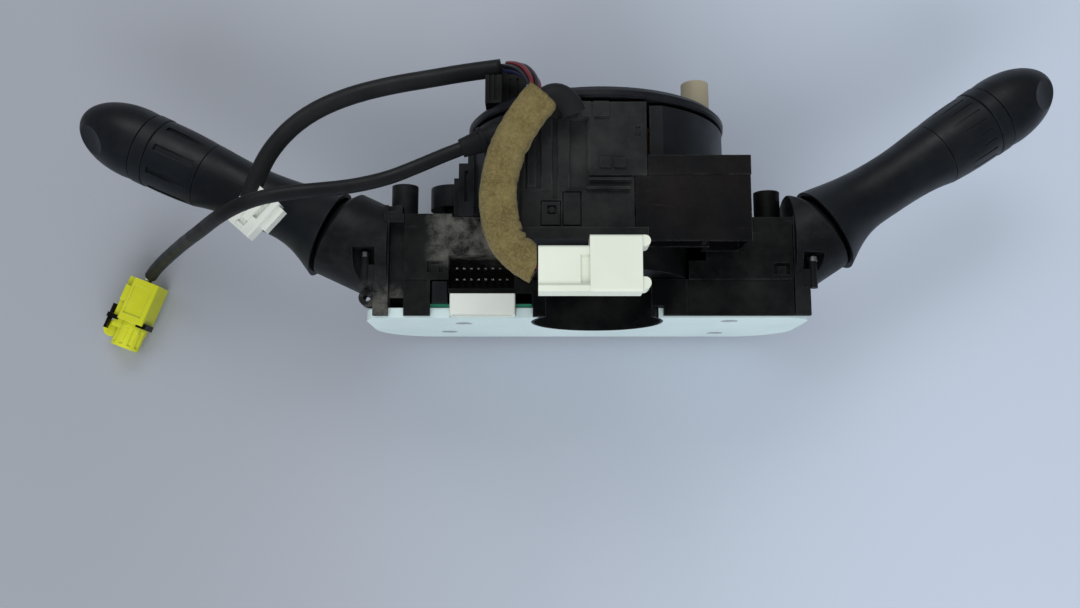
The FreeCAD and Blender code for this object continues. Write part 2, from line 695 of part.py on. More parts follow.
def spiral_ribbon():
    """Flat cable wound round the hub, made of half turns of growing radius."""
    outer, inner = [], []
    r = hub_r + 5.0
    side = 1
    cx = 0.0
    for _ in range(2 * ribbon_turns):
        for half, found in ((ribbon_thick / 2, outer), (-ribbon_thick / 2, inner)):
            rr = r + half
            start, end = V(cx + side * rr, 0, 0), V(cx - side * rr, 0, 0)
            found.append(Part.Arc(start, V(cx, 0, side * rr), end).toShape())
        cx += side * ribbon_pitch / 2
        r += ribbon_pitch / 2
        side = -side
    first = Part.makeLine(outer[0].Vertexes[0].Point, inner[0].Vertexes[0].Point)
    last = Part.makeLine(outer[-1].Vertexes[-1].Point, inner[-1].Vertexes[-1].Point)
    face = Part.Face(Part.Wire(Part.__sortEdges__([first] + outer + [last] + inner)))
    band = face.extrude(V(0, ribbon_high - ribbon_low, 0))
    band.translate(V(0, ribbon_low, 0))
    # the tail that joins its inner turn to the hub
    return band.fuse(box(hub_r, hub_r + 5.0, ribbon_low + 5.0, ribbon_high, -ribbon_thick, 0))


def gear_outline(teeth, phase):
    """Corners of a spur gear with straight flanks, with a tooth centred on phase degrees."""
    pitch_r = gear_module * teeth / 2
    root_r, tip_r = pitch_r - 1.15 * gear_module, pitch_r + 0.9 * gear_module
    step = 360.0 / teeth
    root_half = step * 0.36
    tip_half = step * 0.25 * 0.52 - math.degrees(mesh_play / 2 / tip_r) / 2
    corners = []
    for i in range(teeth):
        a = phase + i * step
        for r, off in ((root_r, -root_half), (tip_r, -tip_half), (tip_r, tip_half), (root_r, root_half)):
            corners.append(at_angle(r, a + off))
    return corners


def spur_gear(teeth, phase, x, z, bore):
    body = prism_y(gear_outline(teeth, phase), gear_low, gear_low + gear_thick)
    body.translate(V(x, 0, z))
    return body.cut(rod_y(x, z, bore, gear_low - 1, gear_low + gear_thick + 1))


def sensor_ring():
    ring = spur_gear(ring_teeth, gear_a_angle, 0, 0, hub_r)
    return ring.fuse(tube_y(hub_r, hub_r + 1.0, gear_low - 0.4, gear_low + gear_thick + 1.2))


def measuring_gear(teeth, angle):
    """Measuring gear, turned so that a gap faces the ring gear's nearest tooth."""
    reach = gear_module * (ring_teeth + teeth) / 2
    x, z = at_angle(reach, angle)
    ring_step = 360.0 / ring_teeth
    offset = (angle - gear_a_angle) % ring_step
    phase = angle + 180 + 180.0 / teeth + offset * ring_teeth / teeth
    gear = spur_gear(teeth, phase, x, z, axle_r + fit_gap)
    low = gear_low + gear_thick
    pot = rod_y(x, z, 3.6, low - 0.1, low + 1.6).cut(rod_y(x, z, axle_r + fit_gap, low - 1, low + 3))
    return gear.fuse(pot)


def lobe(grow, y0, y1):
    block = box(-lobe_half - grow, lobe_half + grow, y0, y1, -lobe_reach - grow, 0)
    block = rounded(block, 4.0, V(0, 1, 0), lambda p: p.z < -lobe_reach - grow + 1)
    return block.common(rod_y(0, 0, well_r - face_gap + min(grow, 0), y0, y1))


def pocket_room(grow):
    """The corner that the sensor leaves free for the connector pocket."""
    edge = pocket_block(face_gap + grow).BoundBox
    return box(-60, edge.XMax, sensor_low - 1, sensor_high + 4, edge.ZMin, 60)


def sensor_case():
    body = rod_y(0, 0, sensor_r, sensor_low, sensor_high).fuse(lobe(0, sensor_low, sensor_high))
    inside = rod_y(0, 0, sensor_r - sensor_wall, sensor_low + sensor_wall, sensor_high + 1)
    inside = inside.fuse(lobe(-sensor_wall, sensor_low + sensor_wall, sensor_high + 1))
    inside = inside.cut(pocket_room(sensor_wall))
    body = body.cut(inside).cut(pocket_room(0))
    for teeth, angle in ((gear_a_teeth, gear_a_angle), (gear_b_teeth, gear_b_angle)):
        x, z = at_angle(gear_module * (ring_teeth + teeth) / 2, angle)
        body = body.fuse(rod_y(x, z, axle_r, sensor_low, gear_low + gear_thick + 1.4))
        body = body.fuse(rod_y(x, z, axle_r + 1.2, sensor_low, gear_low - 0.3))
    return body.cut(rod_y(0, 0, hub_r + 0.6, sensor_low - 1, sensor_high + 1))


def sensor_lid():
    low = sensor_high
    body = rod_y(0, 0, sensor_r, low, low + 1.4).fuse(lobe(0, low, low + 1.4))
    body = body.fuse(tube_y(hub_r + 0.6, hub_r + 2.2, low - 1.0, low + 2.4))
    return body.cut(rod_y(0, 0, hub_r + 0.6, low - 2, low + 4)).cut(pocket_room(0))


def sensor_board():
    low = gear_low + gear_thick + 2.2
    body = lobe(-sensor_wall - 0.4, low, low + 1.2)
    body = body.cut(rod_y(0, 0, hub_r + 3.0, low - 1, low + 2))
    return body.cut(box(-60, 60, low - 1, low + 2, -22, 1))


def sensor_chips():
    low = gear_low + gear_thick + 3.4
    chips = []
    for teeth, angle in ((gear_a_teeth, gear_a_angle), (gear_b_teeth, gear_b_angle)):
        x, z = at_angle(gear_module * (ring_teeth + teeth) / 2, angle)
        chips.append(box(x - 2.0, x + 2.0, low, low + 1.0, z - 2.0, z + 2.0))
    chips.append(box(-2.4, 2.4, low, low + 1.2, -39.0, -34.0))
    return Part.makeCompound(chips)


def cancel_cam():
    low = 30.6
    body = tube_y(hub_r, hub_r + 1.8, low, low + 4.0)
    for angle in (0, 180):
        x, z = at_angle(hub_r + 0.4, angle)
        body = body.fuse(rod_y(x, z, cam_lift, low, low + 4.0))
    return body.cut(rod_y(0, 0, hub_r, low - 1, low + 6))


def grommet():
    """Rubber grommet through which the thin cable leaves the stator."""
    start, along = V(*thin_route[0]), V(*thin_route[0]) - V(*thin_route[1])
    along.normalize()
    to_wall = math.hypot(start.x, start.z) - stator_r
    face = start + along * to_wall
    body = Part.makeCone(thin_r + 2.0, thin_r + 0.9, to_wall + grommet_sleeve, face, -along)
    body = body.fuse(Part.makeCone(thin_r + 2.0, thin_r + 2.6, grommet_root, face, along))
    body = body.fuse(Part.makeCylinder(thin_r + 2.6, 1.6, face - along * 1.0, -along))
    body = body.cut(rod_y(0, 0, stator_r, base_top, stator_top + 1))
    return body.cut(cord_tube(thin_route, thin_r + fit_gap))


# Stalk pieces in their own frame: x along the stalk from the pivot, y towards the driver


def place(shape, side):
    """Turns and moves a stalk piece into place; the left one is the mirror of the right."""
    pivot, angle = (right_pivot, right_angle) if side == "right" else (left_pivot, left_angle)
    shape = shape.copy()
    shape.rotate(V(0, 0, 0), V(0, 0, 1), angle)
    shape.translate(V(abs(pivot[0]), pivot[1], 0))
    return shape if side == "right" else shape.mirror(V(0, 0, 0), V(1, 0, 0))


def upright(shape, side):
    """Moves a piece that isn't turned with the stalk to the pivot."""
    pivot = right_pivot if side == "right" else left_pivot
    shape = shape.copy()
    shape.translate(V(abs(pivot[0]), pivot[1], 0))
    return shape if side == "right" else shape.mirror(V(0, 0, 0), V(1, 0, 0))


def circle_at(s, lift, r):
    return Part.Wire([Part.Circle(V(s, lift, 0), V(1, 0, 0), r).toShape()])


def neck_end():
    return rim_s + neck_stations[-1][0]


def stalk_lever():
    sections = [circle_at(rim_s + s, lift, r) for s, lift, r in neck_stations]
    body = Part.makeLoft(sections, True, False)
    first, second, third = neck_stations[0], neck_stations[1], neck_stations[2]
    hollow = Part.makeLoft([circle_at(rim_s - 0.5, first[1], first[2] - skirt_wall),
                            circle_at(rim_s + second[0], second[1], second[2] - skirt_wall - 0.4),
                            circle_at(rim_s + skirt_depth, second[1] + 0.3, third[2] - skirt_wall)],
                            True, False)
    body = body.cut(hollow)
    end = neck_end()
    spindle_end = end + ring_length + collar_length + 3 * seam + 12.0
    body = body.fuse(rod_x(grip_lift, 0, spindle_r, end - 4, spindle_end))
    body = body.fuse(rod_x(0, 0, arm_r, 0, rim_s + skirt_depth + 3))
    slab = box(-root_r - 0.2, yoke_half_x + yoke_clear, -arm_r - 1, arm_r + 1, root_half, 2 * root_half)
    body = body.cut(slab).cut(slab.mirror(V(0, 0, 0), V(0, 0, 1)))
    body = body.fuse(rod_z(0, 0, root_r, -root_half, root_half))
    body = body.cut(rod_z(0, 0, pivot_pin_r + fit_gap, -20, 20))
    return body.cut(rod_x(0, 0, plunger_r + 0.1, pivot_pin_r + 3.0 - 12, -pivot_pin_r - 0.4))


def stalk_ring(side):
    start = neck_end() + seam
    end = start + ring_length
    body = Part.makeLoft([circle_at(start, grip_lift, ring_r0),
                          circle_at((start + end) / 2, grip_lift, ring_r1 - 0.1),
                          circle_at(end, grip_lift, ring_r1)], True, False)
    body = body.cut(rod_x(grip_lift, 0, spindle_r + fit_gap, start - 1, end + 1))
    grooves = 9 if side == "left" else 20
    width = 2.6 if side == "left" else 0.8
    depth = 0.9 if side == "left" else 0.35
    for i in range(grooves):
        groove = box(start + 2.4, end - 2.4, ring_r1 - depth, ring_r1 + 2, -width / 2, width / 2)
        groove.rotate(V(0, 0, 0), V(1, 0, 0), 360.0 * i / grooves + 90)
        groove.translate(V(0, grip_lift, 0))
        body = body.cut(groove)
    return body


def stalk_collar():
    start = neck_end() + 2 * seam + ring_length
    end = start + collar_length
    body = revolve_x(((start, spindle_r), (start, collar_r - 0.4), (start + 0.4, collar_r),
                      (end - 0.3, collar_r),
                      (end, collar_r - 0.3), (end, spindle_r)), grip_lift)
    return body


def stalk_cap(side):
    start = neck_end() + 3 * seam + ring_length + collar_length
    tip = start + cap_length
    r = collar_r
    shoulder = V(start + cap_straight, r, 0)
    dome = Part.Ellipse(V(start + cap_straight, 0, 0), cap_length - cap_straight, r).toShape(0, math.pi / 2)
    corners = [V(tip, 0, 0), V(start, 0, 0), V(start, r - 0.3, 0), shoulder]
    edges = [Part.makeLine(a, b) for a, b in zip(corners, corners[1:])] + [dome]
    face = Part.Face(Part.Wire(edges))
    body = face.revolve(V(0, 0, 0), V(1, 0, 0), 360)
    # thumb rest: a shallow oval facet on the outer side of the tip
    out = V(*(left_facet if side == "left" else right_facet))
    out.normalize()
    scoop = Part.makeSphere(facet_r, V(start + facet_place, 0, 0) + out * (facet_r + facet_depth))
    body = body.cut(scoop)
    body.translate(V(0, grip_lift, 0))
    return body.cut(rod_x(grip_lift, 0, spindle_r + fit_gap, start - 1, start + 12.4))


def stalk_yoke():
    """Yoke between the case and the lever: two cheeks for the lever's pin, on two trunnions."""
    body = box(-yoke_half_x, yoke_half_x, -yoke_half_y, yoke_half_y, -yoke_half_z, yoke_half_z)
    slot = root_half + 0.25
    back = root_r + face_gap
    body = body.cut(box(-back, yoke_half_x + 1, 1.6 - yoke_half_y, yoke_half_y - 1.6, -slot, slot))
    body = body.cut(box(-0.5, yoke_half_x + 1, -yoke_half_y - 1, yoke_half_y + 1, -slot, slot))
    # window for the detent plunger
    body = body.cut(box(-yoke_half_x - 1, 0, -5.0, 5.0, -plunger_r - 0.5, plunger_r + 0.5))
    for low in (-yoke_half_y - trunnion_length, yoke_half_y - 1.0):
        body = body.fuse(rod_y(0, 0, trunnion_r, low, low + trunnion_length + 1.0))
    # the lever's arm swings past the inner ends of the trunnions
    body = body.cut(box(-0.5, yoke_half_x + 1, -yoke_half_y, yoke_half_y, -slot, slot))
    return body.cut(rod_z(0, 0, pivot_pin_r, -yoke_half_z - 1, yoke_half_z + 1))


def pivot_pin():
    return rod_z(0, 0, pivot_pin_r, -yoke_half_z, yoke_half_z)


def detent_plunger():
    tip = -root_r - 2.2
    body = rod_x(0, 0, plunger_r, tip, -pivot_pin_r - 0.9)
    return body.makeFillet(1.0, [e for e in body.Edges if abs(e.CenterOfMass.x - tip) < 0.01])


def switch_case(side):
    """Case of one stalk switch: its block, its flange on the base and the round guard."""
    pivot = right_pivot if side == "right" else left_pivot
    angle = right_angle if side == "right" else left_angle
    flange = right_flange if side == "right" else left_flange
    px, py = abs(pivot[0]), pivot[1]
    inner = px - case_inner if side == "right" else -base_left + face_gap
    block = box(inner, flange[0] + 1, case_low, case_high, case_back_z, case_front_z)
    top = flange[1] - flange_taper
    plate = prism_z(((flange[0], flange_low), (flange[1], flange_low), (flange[1], flange_low + 6.0),
                     (top, flange_high), (flange[0], flange_high)), tray_back_z, front_z)
    plate = rounded(plate, 9.0, V(1, 0, 0), lambda p: p.z < tray_back_z + 1)
    foot = box(flange[0], flange[1], skirt_low, flange_low + 1, front_z - base_wall, front_z)
    body = block.fuse(plate).fuse(foot)
    guard = rod_x(dome_lift, 0, dome_r, -14, dome_sphere_r + 4).common(Part.makeSphere(dome_sphere_r))
    core = rod_x(0, 0, mouth_r, 2.0, dome_sphere_r + 5)
    guard.rotate(V(0, 0, 0), V(0, 0, 1), angle)
    core.rotate(V(0, 0, 0), V(0, 0, 1), angle)
    guard.translate(V(px, py, 0))
    core.translate(V(px, py, 0))
    guard = guard.common(box(flange[0] + 0.5, px + 60, flange_low, 80, -60, 60))
    body = body.fuse(guard)
    # pocket of the case screw, with the pillar that the screw sits on
    sx, sy = left_screw if side == "left" else right_screw
    pocket = rod_y(sx, screw_z, screw_pocket_r, sy - screw_pocket_deep, sy + 2.4).fuse(
        box(sx - screw_pocket_r, sx + screw_pocket_r, sy - screw_pocket_deep, sy + 2.4, screw_z,
            screw_z + 8))
    pillar = rod_y(sx, screw_z - screw_sink, screw_head_r - 0.3, sy - screw_pocket_deep - 0.5, sy - 1.0)
    web = box(sx - screw_pocket_r - 1.0, sx, sy - screw_pocket_deep - 0.5, sy - 4.0,
              screw_z - screw_sink - 0.9, screw_z - screw_sink + 0.9)
    body = body.cut(pocket).fuse(pillar).fuse(web)
    cavity = rod_y(px, 0, cavity_r, py - yoke_half_y - 0.4, py + yoke_half_y + 0.4)
    holes = rod_y(px, 0, trunnion_r + fit_gap, py - yoke_half_y - trunnion_length - 0.8,
                  py + yoke_half_y + trunnion_length + 0.8)
    body = body.cut(cavity).cut(holes).cut(core)
    if side == "left":
        # lug with a screw hole at the foot of the plate
        lug = rod_z(flange[1] + 3.2, flange_low + 4.4, 3.4, 2.0, 9.0).fuse(
            box(flange[1] - 1, flange[1] + 3.2, flange_low + 1.0, flange_low + 7.8, 2.0, 9.0))
        body = body.fuse(lug).cut(rod_z(flange[1] + 3.2, flange_low + 4.4, 1.5, 1, 10))
        x, z = -left_boss[0], left_boss[1]
        boss = rod_y(x, z, boss_r, case_high - 1.5, boss_top)
        body = body.fuse(boss.cut(box(0, -base_left + face_gap, 0, left_top + face_gap, -60, 60)))
        body = body.cut(rod_y(x, z, boss_hole_r, boss_top - boss_hole_depth, boss_top + 1))
        # stepped block on the plate's top, in front of the boss
        body = body.fuse(box(-base_left + face_gap, top, case_high - 1, case_high + 2.4,
                             case_front_z, front_z - 0.4))
        body = body.fuse(box(-base_left + 1.0, top, case_high + 2, 45.0, case_front_z - 0.2, front_z - 0.4))
        body = body.cut(box(-base_left + 3.4, top - 1.6, 42.6, 46.0, front_z - 2.0, front_z))
    return body if side == "right" else body.mirror(V(0, 0, 0), V(1, 0, 0))


def case_screw(side):
    sx, sy = left_screw if side == "left" else right_screw
    head = rod_y(sx, screw_z - screw_sink, screw_head_r, sy - 1.0, sy + 1.0)
    head = head.cut(box(sx - 2, sx + 2, sy + 0.3, sy + 2, screw_z - screw_sink - 0.4,
                        screw_z - screw_sink + 0.4))
    return head if side == "right" else head.mirror(V(0, 0, 0), V(1, 0, 0))


# Harness: tubes of straight runs joined by tangent arcs


def cord_path(route):
    points = [V(*p) for p in route]
    edges, radii = [], []
    here = points[0]
    for before, corner, after in zip(points, points[1:], points[2:]):
        a, b = before - corner, after - corner
        run = min(a.Length, b.Length)
        a.normalize()
        b.normalize()
        turn = math.pi - a.getAngle(b)
        cutback = 0.45 * run
        radius = cutback / math.tan(turn / 2)
        radii.append(radius)
        start, end = corner + a * cutback, corner + b * cutback
        inward = a + b
        inward.normalize()
        to_centre = math.hypot(radius, cutback)
        middle = corner + inward * (to_centre - radius)
        edges.append(Part.makeLine(here, start))
        edges.append(Part.Arc(start, middle, end).toShape())
        here = end
    edges.append(Part.makeLine(here, points[-1]))
    return Part.Wire(edges), radii


def cord_tube(route, r):
    start = V(*route[0])
    profile = Part.Wire([Part.Circle(start, V(*route[1]) - start, r).toShape()])
    return cord_path(route)[0].makePipeShell([profile], True, False)


def cord(name, route, r):
    path, radii = cord_path(route)
    print(name, "length", round(path.Length, 1), "diameter", 2 * r, "least radius", round(min(radii), 1))
    return cord_tube(route, r)


def felt_sleeve():
    """Flattened felt sleeve round the bundle, on the stretch that lies in front of the cover."""
    flat = [(x, y, felt_z) for x, y, z in bundle_route if z > 57.0]
    flat = [felt_start] + flat[:-1] + [(ivory_left - face_gap, bundle_route[-1][1], felt_z)]
    path, _ = cord_path(flat)
    start = V(*flat[0])
    along = V(*flat[1]) - start
    along.normalize()
    across = along.cross(V(0, 0, 1))
    half_w, half_t = felt_width / 2, felt_thick / 2
    flat_half = half_w - half_t
    a, b = start + across * flat_half, start - across * flat_half
    up = V(0, 0, half_t)
    section = Part.Wire([
        Part.makeLine(a + up, b + up), Part.Arc(b + up, b - across * half_t, b - up).toShape(),
        Part.makeLine(b - up, a - up), Part.Arc(a - up, a + across * half_t, a + up).toShape()])
    body = path.makePipeShell([section], True, False)
    body = body.cut(box(ivory_left - face_gap, 0, ivory_low - 9, ivory_high, felt_z - 9, felt_z + 9))
    return body.cut(cord_tube(bundle_route, bundle_r + fit_gap))


def ivory_plug():
    """Two-part plug on the felt harness: a plain rear half and a higher front half with two ears."""
    z0, z1 = ivory_z
    body = box(ivory_left, ivory_step, ivory_low, ivory_high - ivory_rise, z0 + 1.0, z1 - 1.0)
    body = rounded(body, 1.2, V(1, 0, 0))
    rail = box(ivory_left, ivory_step, ivory_low, ivory_low + 2.2, z0 + 1.0, z1 - 0.2)
    head = box(ivory_step - 0.4, ivory_right - ivory_ear, ivory_low, ivory_high, z0, z1)
    head = rounded(head, 1.0, V(1, 0, 0))
    body = body.fuse(head).fuse(rail)
    for y0, y1, nose in ((ivory_low + 1.0, ivory_low + 5.4, 2.2), (ivory_high - 4.0, ivory_high, 2.0)):
        ear = box(ivory_right - ivory_ear - 1.0, ivory_right, y0, y1, z0 + 1.0, z1 - 1.0)
        body = body.fuse(rounded(ear, nose - 0.1, V(0, 0, 1), lambda p: p.x > ivory_right - 0.1))
    # mouth for the mating half, and the step lines of the face
    body = body.cut(box(ivory_step + 4.0, ivory_right + 1, ivory_low + 6.4, ivory_high - 5.4, z0 + 2.0,
                        z1 - 2.0))
    body = body.cut(box(ivory_step - 3.6, ivory_step - 0.4, ivory_low + 3, ivory_high - 7.0, z1 - 1.9,
                        z1 + 1))
    return body.cut(cord_tube(bundle_route, bundle_r + fit_gap))


def at_plug(shape):
    """Turns the white plug's pieces from their own frame to their place under the tube's end."""
    shape.rotate(V(0, 0, 0), V(0, 0, 1), white_turn)
    end = thick_route[-1]
    shape.translate(V(end[0] + 2.4, end[1] - 5.0, end[2] - 1.6))
    return shape


def white_plug():
    """Plug on the thick tube, lying above the left stalk."""
    l, w, t = white_length / 2, white_width / 2, white_thick / 2
    body = rounded(box(-l, l, -w, w, -t, t), 0.9, V(1, 0, 0))
    body = body.cut(box(-l - 1, -l + 6.4, -w + 1.4, w - 1.4, -t + 1.6, t - 1.6))
    # sunk field with the latch arm, a side wing and the stepped rear
    body = body.cut(box(-l + 7.4, l - 2.4, -w + 2.4, w - 2.4, t - 1.3, t + 1))
    body = body.fuse(box(-l + 1.0, l - 4.0, -1.5, 1.5, t - 1.6, t + 0.4))
    body = body.cut(box(-l + 2.4, -l + 4.4, -1.6, 1.6, t - 0.6, t + 1))
    body = body.fuse(box(-l + 6.0, l - 1.0, -w - 2.6, -w + 0.5, -t + 0.8, t - 2.2))
    body = body.fuse(box(-l + 0.4, -l + 4.6, w - 0.5, w + 1.8, -t + 1.4, t - 2.4))
    body = at_plug(body)
    end, before = V(*thick_route[-1]), V(*thick_route[-2])
    along = end - before
    along.normalize()
    body = body.fuse(Part.makeCylinder(thick_r, 4.4, end, along))
    return body.cut(Part.makeCylinder(thick_r + fit_gap, 14.0, end + along * 0.1, -along))


def yellow_plug():
    """Squib plug on the thin cable, lying on the surface."""
    thick = 14.4
    floor = back_z
    z0, z1 = floor, floor + thick
    end, before = V(*thin_route[-1]), V(*thin_route[-2])
    body = rounded(box(-yellow_body, 0.3, -7.6, 7.6, z0 + 1.0, z1 - 2.6), 1.2, V(1, 0, 0))
    # raised upper half with its sunk face, and the rib on the low side
    upper = rounded(box(-yellow_body, 0.3, -7.6, 4.2, z0 + 3, z1), 0.8, V(1, 0, 0), lambda p: p.z > z1 - 1)
    body = body.fuse(upper).cut(box(3.0 - yellow_body, -3.0, -5.6, 2.6, z1 - 0.5, z1 + 1))
    body = body.fuse(rounded(box(-11.0, -4.0, 3.9, 6.8, z1 - 3.2, z1 - 0.6), 0.5, V(1, 0, 0)))
    # round coupling with its grip flutes, and the small eye beside it
    low = z0 + yellow_lobe_r
    lobe_end = rod_x(-1.2, low, yellow_lobe_r, -yellow_length, 0.8 - yellow_body)
    for i in range(5):
        y, z = at_angle(yellow_lobe_r + 0.5, 20 + 35 * i)
        lobe_end = lobe_end.cut(rod_x(y - 1.2, low + z, 1.1, -yellow_length + 1.4, -yellow_body - 2.4))
    neck = box(-yellow_body - 4.0, 0.6 - yellow_body, -6.4, 6.4, z0 + 1.4, z1 - 3.2)
    eye = rod_z(-yellow_body - 5.4, 7.0, 3.6, z0, z0 + 8.0).fuse(
        box(-yellow_body - 7.4, 0.2 - yellow_body, 2.0, 7.4, z0 + 1.0, z0 + 7.0))
    body = body.fuse(lobe_end).fuse(neck).fuse(eye)
    body.rotate(V(0, 0, 0), V(0, 0, 1), yellow_turn)
    body.translate(V(end.x, end.y, 0))
    along = end - before
    along.normalize()
    return body.cut(Part.makeCylinder(thin_r + fit_gap, 14.0, end, -along))


def shorting_clip():
    """Pair of dark spring clips across the yellow plug."""
    z1 = back_z + 14.4
    x0 = -yellow_body - 1.0
    clip = box(x0, x0 + 2.0, 4.6, 9.4, z1 - 4.6, z1 - 1.4).fuse(box(x0, x0 + 2.0, 8.0, 9.4, back_z + 3,
                                                                    z1 - 2))
    clip = clip.fuse(box(x0 - 5.0, x0 + 6.4, 7.9, 9.2, z1 - 5.0, z1 - 2.6))
    other = box(x0, x0 + 2.6, -9.0, -4.6, z1 - 5.0,
                z1 - 1.4).fuse(box(x0, x0 + 2.6, -9.0, -7.9, back_z + 4, z1 - 2))
    clip = clip.fuse(other).fuse(box(x0, x0 + 1.6, -9.0, 9.4, z1 - 4.6, z1 - 3.3))
    clip.rotate(V(0, 0, 0), V(0, 0, 1), yellow_turn)
    end = thin_route[-1]
    clip.translate(V(end[0], end[1], 0))
    return clip.cut(yellow_plug())


def rubber_elbow():
    """Rubber sleeve end that bends over the rim beside the felt."""
    route = [(x, y, disc_r + rise) for x, y, rise in elbow_route]
    return cord_tube(route, elbow_r).cut(felt_sleeve()).cut(cord_tube(bundle_route, bundle_r + fit_gap))


def main():
    os.makedirs("parts", exist_ok=True)
    single = {
        "base_housing": base_housing, "pcb_tray": pcb_tray, "circuit_board": circuit_board,
        "board_header": board_header, "header_pins": header_pins, "board_relay": board_relay,
        "pocket_contacts": pocket_contacts, "tray_screws": tray_screws, "stator_body": stator_body,
        "lug_screws": lug_screws, "ribbed_cover": ribbed_cover, "connector_box": connector_box,
        "box_contacts": box_contacts, "rotor_disc": rotor_disc, "rotor_hub": rotor_hub,
        "cable_guide": cable_guide, "drive_pin": drive_pin, "spiral_ribbon": spiral_ribbon,
        "sensor_ring_gear": sensor_ring, "sensor_case": sensor_case, "sensor_lid": sensor_lid,
        "sensor_board": sensor_board, "sensor_chips": sensor_chips, "cancel_cam": cancel_cam,
        "cable_grommet": grommet, "felt_sleeve": felt_sleeve, "ivory_plug": ivory_plug,
        "white_plug": white_plug, "yellow_plug": yellow_plug, "shorting_clip": shorting_clip,
        "rubber_elbow": rubber_elbow,
    }
    for name, make in single.items():
        save(name, make())
    save("measuring_gear_a", measuring_gear(gear_a_teeth, gear_a_angle))
    save("measuring_gear_b", measuring_gear(gear_b_teeth, gear_b_angle))
    save("thick_tube", cord("thick tube", thick_route, thick_r))
    save("thin_cable", cord("thin cable", thin_route, thin_r))
    save("wire_bundle", cord("wire bundle", bundle_route, bundle_r))
    for side in ("left", "right"):
        save(side + "_switch_case", switch_case(side))
        save(side + "_case_screw", case_screw(side))
        save(side + "_yoke", upright(stalk_yoke(), side))
        save(side + "_pivot_pin", upright(pivot_pin(), side))
        save(side + "_lever", place(stalk_lever(), side))
        save(side + "_detent_plunger", place(detent_plunger(), side))
        save(side + "_grip_ring", place(stalk_ring(side), side))
        save(side + "_grip_collar", place(stalk_collar(), side))
        save(side + "_end_cap", place(stalk_cap(side), side))


main()
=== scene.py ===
import bpy
import math
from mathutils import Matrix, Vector, noise


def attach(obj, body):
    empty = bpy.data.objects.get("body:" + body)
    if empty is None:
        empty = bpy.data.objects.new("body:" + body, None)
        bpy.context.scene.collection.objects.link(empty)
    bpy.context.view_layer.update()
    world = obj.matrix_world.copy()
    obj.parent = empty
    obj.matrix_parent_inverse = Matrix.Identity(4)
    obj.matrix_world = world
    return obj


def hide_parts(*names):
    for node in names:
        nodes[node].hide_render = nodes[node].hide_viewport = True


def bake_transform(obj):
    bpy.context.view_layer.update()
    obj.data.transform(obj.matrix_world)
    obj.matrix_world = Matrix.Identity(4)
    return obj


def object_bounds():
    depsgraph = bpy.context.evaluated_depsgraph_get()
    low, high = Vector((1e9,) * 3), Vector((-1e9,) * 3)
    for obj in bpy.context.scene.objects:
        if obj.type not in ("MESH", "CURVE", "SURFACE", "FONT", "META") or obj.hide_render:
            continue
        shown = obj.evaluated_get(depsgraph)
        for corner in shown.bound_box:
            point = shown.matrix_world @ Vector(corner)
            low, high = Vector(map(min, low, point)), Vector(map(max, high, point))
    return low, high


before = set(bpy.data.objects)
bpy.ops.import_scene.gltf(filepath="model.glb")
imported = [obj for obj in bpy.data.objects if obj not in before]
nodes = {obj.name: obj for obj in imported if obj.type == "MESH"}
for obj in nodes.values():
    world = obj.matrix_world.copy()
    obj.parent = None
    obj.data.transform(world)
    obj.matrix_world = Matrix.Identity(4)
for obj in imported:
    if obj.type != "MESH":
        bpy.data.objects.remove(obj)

# A steering column switch module: two stalk switches, a spiral cable unit with its harness and a base.
# Frame: X to the right stalk, Y along the steering axis, Z up from the table. Metres.

cad_box = [list(corner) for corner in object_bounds()]

UP = Vector((0.0, 0.0, 1.0))
FLOOR_Z = cad_box[0][2]

# Routes of the harness, the same points as in the CAD model
THICK_ROUTE = ((-0.0382, 0.0961, 0.0300), (-0.0512, 0.0942, 0.0304), (-0.0648, 0.0914, 0.0312),
               (-0.0796, 0.0887, 0.0316), (-0.0946, 0.0849, 0.0318), (-0.1086, 0.0794, 0.0312),
               (-0.1192, 0.0720, 0.0306), (-0.1274, 0.0626, 0.0296), (-0.1322, 0.0528, 0.0284),
               (-0.1354, 0.0440, 0.0276))
THIN_ROUTE = ((-0.0496, 0.0649, 0.0300), (-0.0584, 0.0613, 0.0306), (-0.0690, 0.0561, 0.0320),
              (-0.0807, 0.0503, 0.0346), (-0.0936, 0.0461, 0.0384), (-0.1056, 0.0438, 0.0420),
              (-0.1162, 0.0423, 0.0440), (-0.1278, 0.0400, 0.0442), (-0.1373, 0.0372, 0.0410),
              (-0.1468, 0.0349, 0.0320), (-0.1565, 0.0336, 0.0180), (-0.1674, 0.0329, 0.0020),
              (-0.1782, 0.0318, -0.0146), (-0.1874, 0.0302, -0.0280), (-0.1948, 0.0274, -0.0376),
              (-0.1990, 0.0239, -0.0430))
BUNDLE_ROUTE = ((-0.0356, 0.0954, 0.0320), (-0.0318, 0.0930, 0.0386), (-0.0274, 0.0876, 0.0464),
                (-0.0242, 0.0792, 0.0540), (-0.0268, 0.0688, 0.0584), (-0.0330, 0.0586, 0.0580),
                (-0.0372, 0.0472, 0.0584), (-0.0382, 0.0354, 0.0580), (-0.0364, 0.0244, 0.0584),
                (-0.0312, 0.0154, 0.0580), (-0.0234, 0.0118, 0.0582))
# Middle line of the flattened felt sleeve
FELT_ROUTE = ((-0.0218, 0.0746, 0.0582), (-0.0268, 0.0688, 0.0582), (-0.0330, 0.0586, 0.0582),
              (-0.0372, 0.0472, 0.0582), (-0.0382, 0.0354, 0.0582), (-0.0364, 0.0244, 0.0582),
              (-0.0312, 0.0154, 0.0582), (-0.0239, 0.0118, 0.0582))
THICK_R = 0.0035
THIN_R = 0.00275
BUNDLE_R = 0.0026

# Materials

BEVEL_SAMPLES = 4
BOX_SOFT = 0.006              # how far a box of dust fades out
WORN_EDGE = 0.0006            # width of a worn edge
FLAT_COSINE, EDGE_COSINE = 0.99, 0.86


